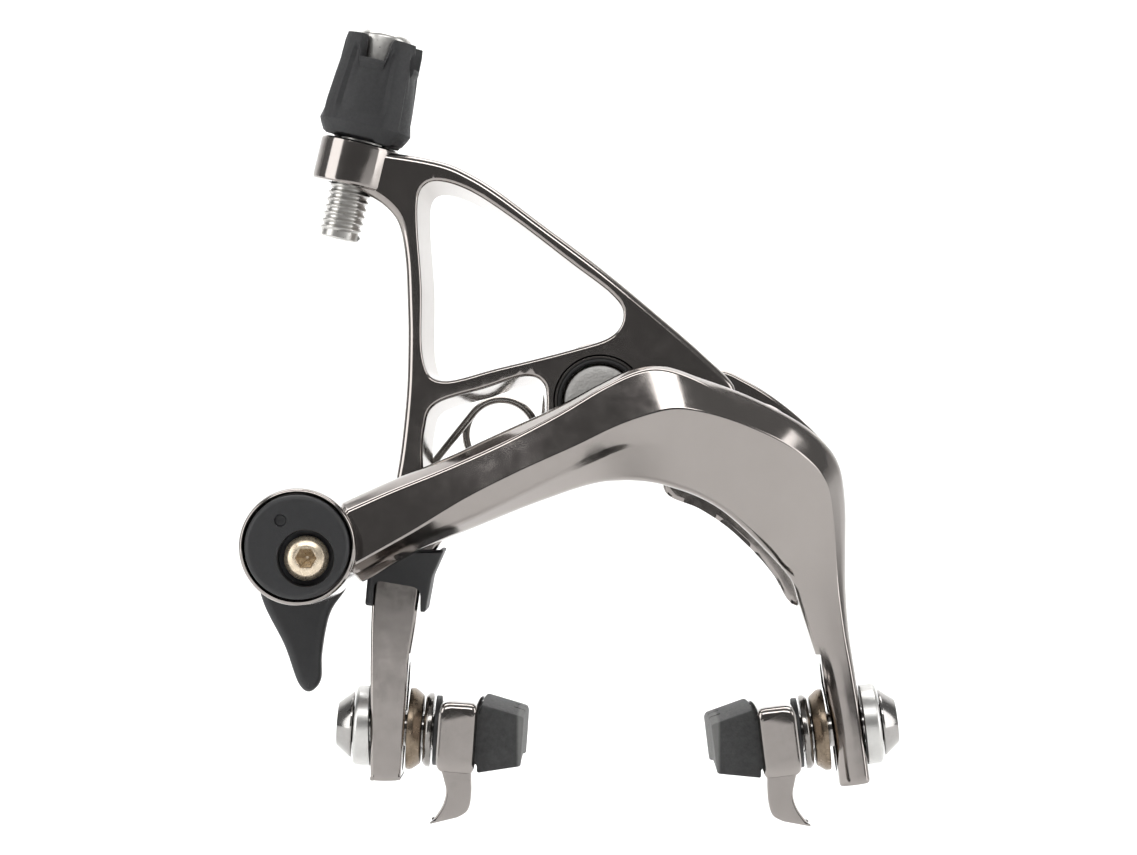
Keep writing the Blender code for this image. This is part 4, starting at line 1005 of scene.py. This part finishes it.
def pad_rubber(name, face, towards):
    """Cured brake compound: matt black, dusty grey where its braking face has met the rim."""
    made, tree, shader, place = finish(name, 0.0, 0.7)
    rub(tree, shader, place, (0.55, 0.8), 0.5)
    cloud = add(tree, "TexNoise", {"Vector": place, "Scale": 1 / (0.8 * MM), "Detail": 4.0})
    black = add(
        tree,
        "MixRGB",
        {"Fac": cloud.outputs["Fac"], "Color1": COMPOUND_DARK, "Color2": COMPOUND_LIGHT},
    )
    side = add(tree, "SeparateXYZ", {"Vector": place})
    ends = {"From Min": (face - 0.75 * towards) * MM, "From Max": (face - 0.35 * towards) * MM}
    worn = add(tree, "MapRange", {"Value": side.outputs["X"], "To Min": 0.0, "To Max": 0.85, **ends})
    dust = add(
        tree,
        "MixRGB",
        {"Fac": worn.outputs["Result"], "Color1": black.outputs["Color"], "Color2": COMPOUND_DUST},
    )
    tree.links.new(dust.outputs["Color"], shader.inputs["Base Color"])
    grain = add(tree, "TexNoise", {"Vector": place, "Scale": 1 / (0.25 * MM), "Detail": 3.0})
    relief(tree, shader, grain.outputs["Fac"], 0.05)
    return made


chrome = plain_metal("dark_chrome", (0.30, 0.29, 0.28, 1), (0.37, 0.36, 0.35, 1), (0.08, 0.15))
dark_nickel = plain_metal("dark_nickel", (0.20, 0.19, 0.18, 1), (0.28, 0.265, 0.25, 1), (0.12, 0.2))
for name, flip in (("left", -1), ("right", 1)):
    pad = pad_place(name)
    swung = Matrix.Rotation(-flip * pi / 2, 4, "Z")
    out = pad @ swung  # distances count outwards from the leg's middle
    clamp, shoe = name + "_pad_clamp", name + "_shoe"

    bolt = turned(
        [(0, 7.3), (3.0, 7.3), (4.6, 5.35), (4.6, 5.1), (2.5, 5.1), (2.5, -11.6), (0, -11.6)], out, 72, 0.12
    )
    socket = out @ Matrix.Rotation(pi, 4, "X")
    bolt = shaped(bolt, cuts=[hexagon(4.0, -7.5, -5.6, socket, 0.3, 2.0)])
    finished(name + "_pad_bolt_fine", bolt, chrome, clamp, "dark_chrome_bolt", name + "_pad_bolt")
    seat = 2.6 if flip > 0 else 1.9
    washer = turned([(PAD_BORE, seat), (5.6, seat), (5.6, 4.4), (5.3, 4.8), (PAD_BORE, 4.8)], out, 72, 0.12)
    if flip < 0:
        washer = shaped(washer, cuts=[block((-32.2, -30, -60), (-20, -5, -30))])
    cup = [(PAD_BORE, -2.6), (5.7, -2.6), (5.7, -3.4), (4.8, -4.6), (PAD_BORE, -4.6)]
    ball = [(PAD_BORE, -4.9), (4.8, -4.9), (5.2, -5.4), (5.2, -6.0), (PAD_BORE, -6.0)]
    for part, ring_shape, metal, body, slot in (
        ("outer_washer", washer, satin_silver, clamp, "satin_silver"),
        ("convex_washer", turned(cup, out, 72, 0.25), bronze, clamp, "bronze_washer"),
        ("concave_washer", turned(ball, out), dark_nickel, shoe, "polished_holder"),
        ("spacer_washer", turned(ring(PAD_BORE, 4.9, -7.1, -6.3), out), nylon, shoe, "black_plastic"),
    ):
        finished(f"{name}_{part}_fine", ring_shape, metal, body, slot, f"{name}_pad_{part}")

    bar = [(-7.6, 3.9), (-8.4, 4.8), (-12.8, 4.8), (-12.8, -4.8), (-8.4, -4.8), (-7.6, -3.9)]
    bar = [(flip * x, z) for x, z in bar]
    channel = [(-10, 3.7), (-14, 3.7), (-14, -3.7), (-10, -3.7)]
    channel = [(flip * x, z) for x, z in channel]
    guide = through([(-8.3, -2.9), (-8.9, -4.6), (-9.3, -6.2), (-8.9, -8.2), (-7.5, -10.6)], 4, closed=False)
    guide += through([(-11.0, -9.5), (-12.4, -8.4), (-12.7, -6.0), (-12.4, -2.9)], 4, closed=False)
    if flip < 0:
        guide = [Vector((-p.x, p.y)) for p in reversed(guide)]
    front = -SHOE_HALF + 0.4
    hook = forged(guide, front, front + HOOK_WIDTH, [HOOK_EDGE] * len(guide), HOOK_EDGE)
    bolt_hole = turned(rod(PAD_BORE, -5, -12.2), swung, 64, 0.0)
    holder = shaped(
        swept(bar, -SHOE_HALF, SHOE_HALF, 1.1, 1.0),
        joins=[hook],
        cuts=[swept(channel, -SHOE_HALF + 1.5, SHOE_HALF + 3.0, 0.3, 0.1), bolt_hole],
    )
    bmesh.ops.transform(holder, matrix=pad, verts=holder.verts)
    even(finished(name + "_holder_fine", holder, nickel, shoe, "polished_holder", name + "_pad_holder"))

    block_section = [(-10.3, 3.4), (-13.1, 3.4), (-13.2, 4.6), (-PAD_FACE, 3.3)]
    block_section += [(x, -z) for x, z in reversed(block_section)]
    block_section = [(flip * x, z) for x, z in block_section]
    near, far = sorted((-flip * (PAD_FACE + 1.0), -flip * (PAD_FACE - GROOVE_DEPTH)))
    grooves = [block((near, at - GROOVE_HALF, -9.0), (far, at + GROOVE_HALF, 9.0)) for at in GROOVES]
    relief_bore = turned(rod(3, -9, -12.2), swung, 48, 0.0)
    rubber_block = shaped(
        swept(block_section, -SHOE_HALF + 1.7, SHOE_HALF - 0.6, 0.35, 0.3), cuts=[relief_bore, *grooves]
    )
    bmesh.ops.transform(rubber_block, matrix=pad, verts=rubber_block.verts)
    face = (pad @ Vector((-flip * PAD_FACE, 0.0, 0.0))).x
    compound = pad_rubber(name + "_pad_rubber", face, -flip)
    finished(name + "_brake_pad_fine", rubber_block, compound, shoe, "pad_rubber", name + "_brake_pad")
    upright_screw = pad @ Matrix.Translation((-flip * 11.6, 14.0, 0.0)) @ Matrix.Rotation(pi / 2, 4, "X")
    grub = turned(rod(1.3, -5.2, -2.6), upright_screw, 48, 0.2)
    grub = shaped(grub, cuts=[hexagon(1.3, -5.8, -3.8, upright_screw)])
    finished(name + "_pad_screw_fine", grub, ground_steel, shoe, "hidden_steel", name + "_pad_screw")
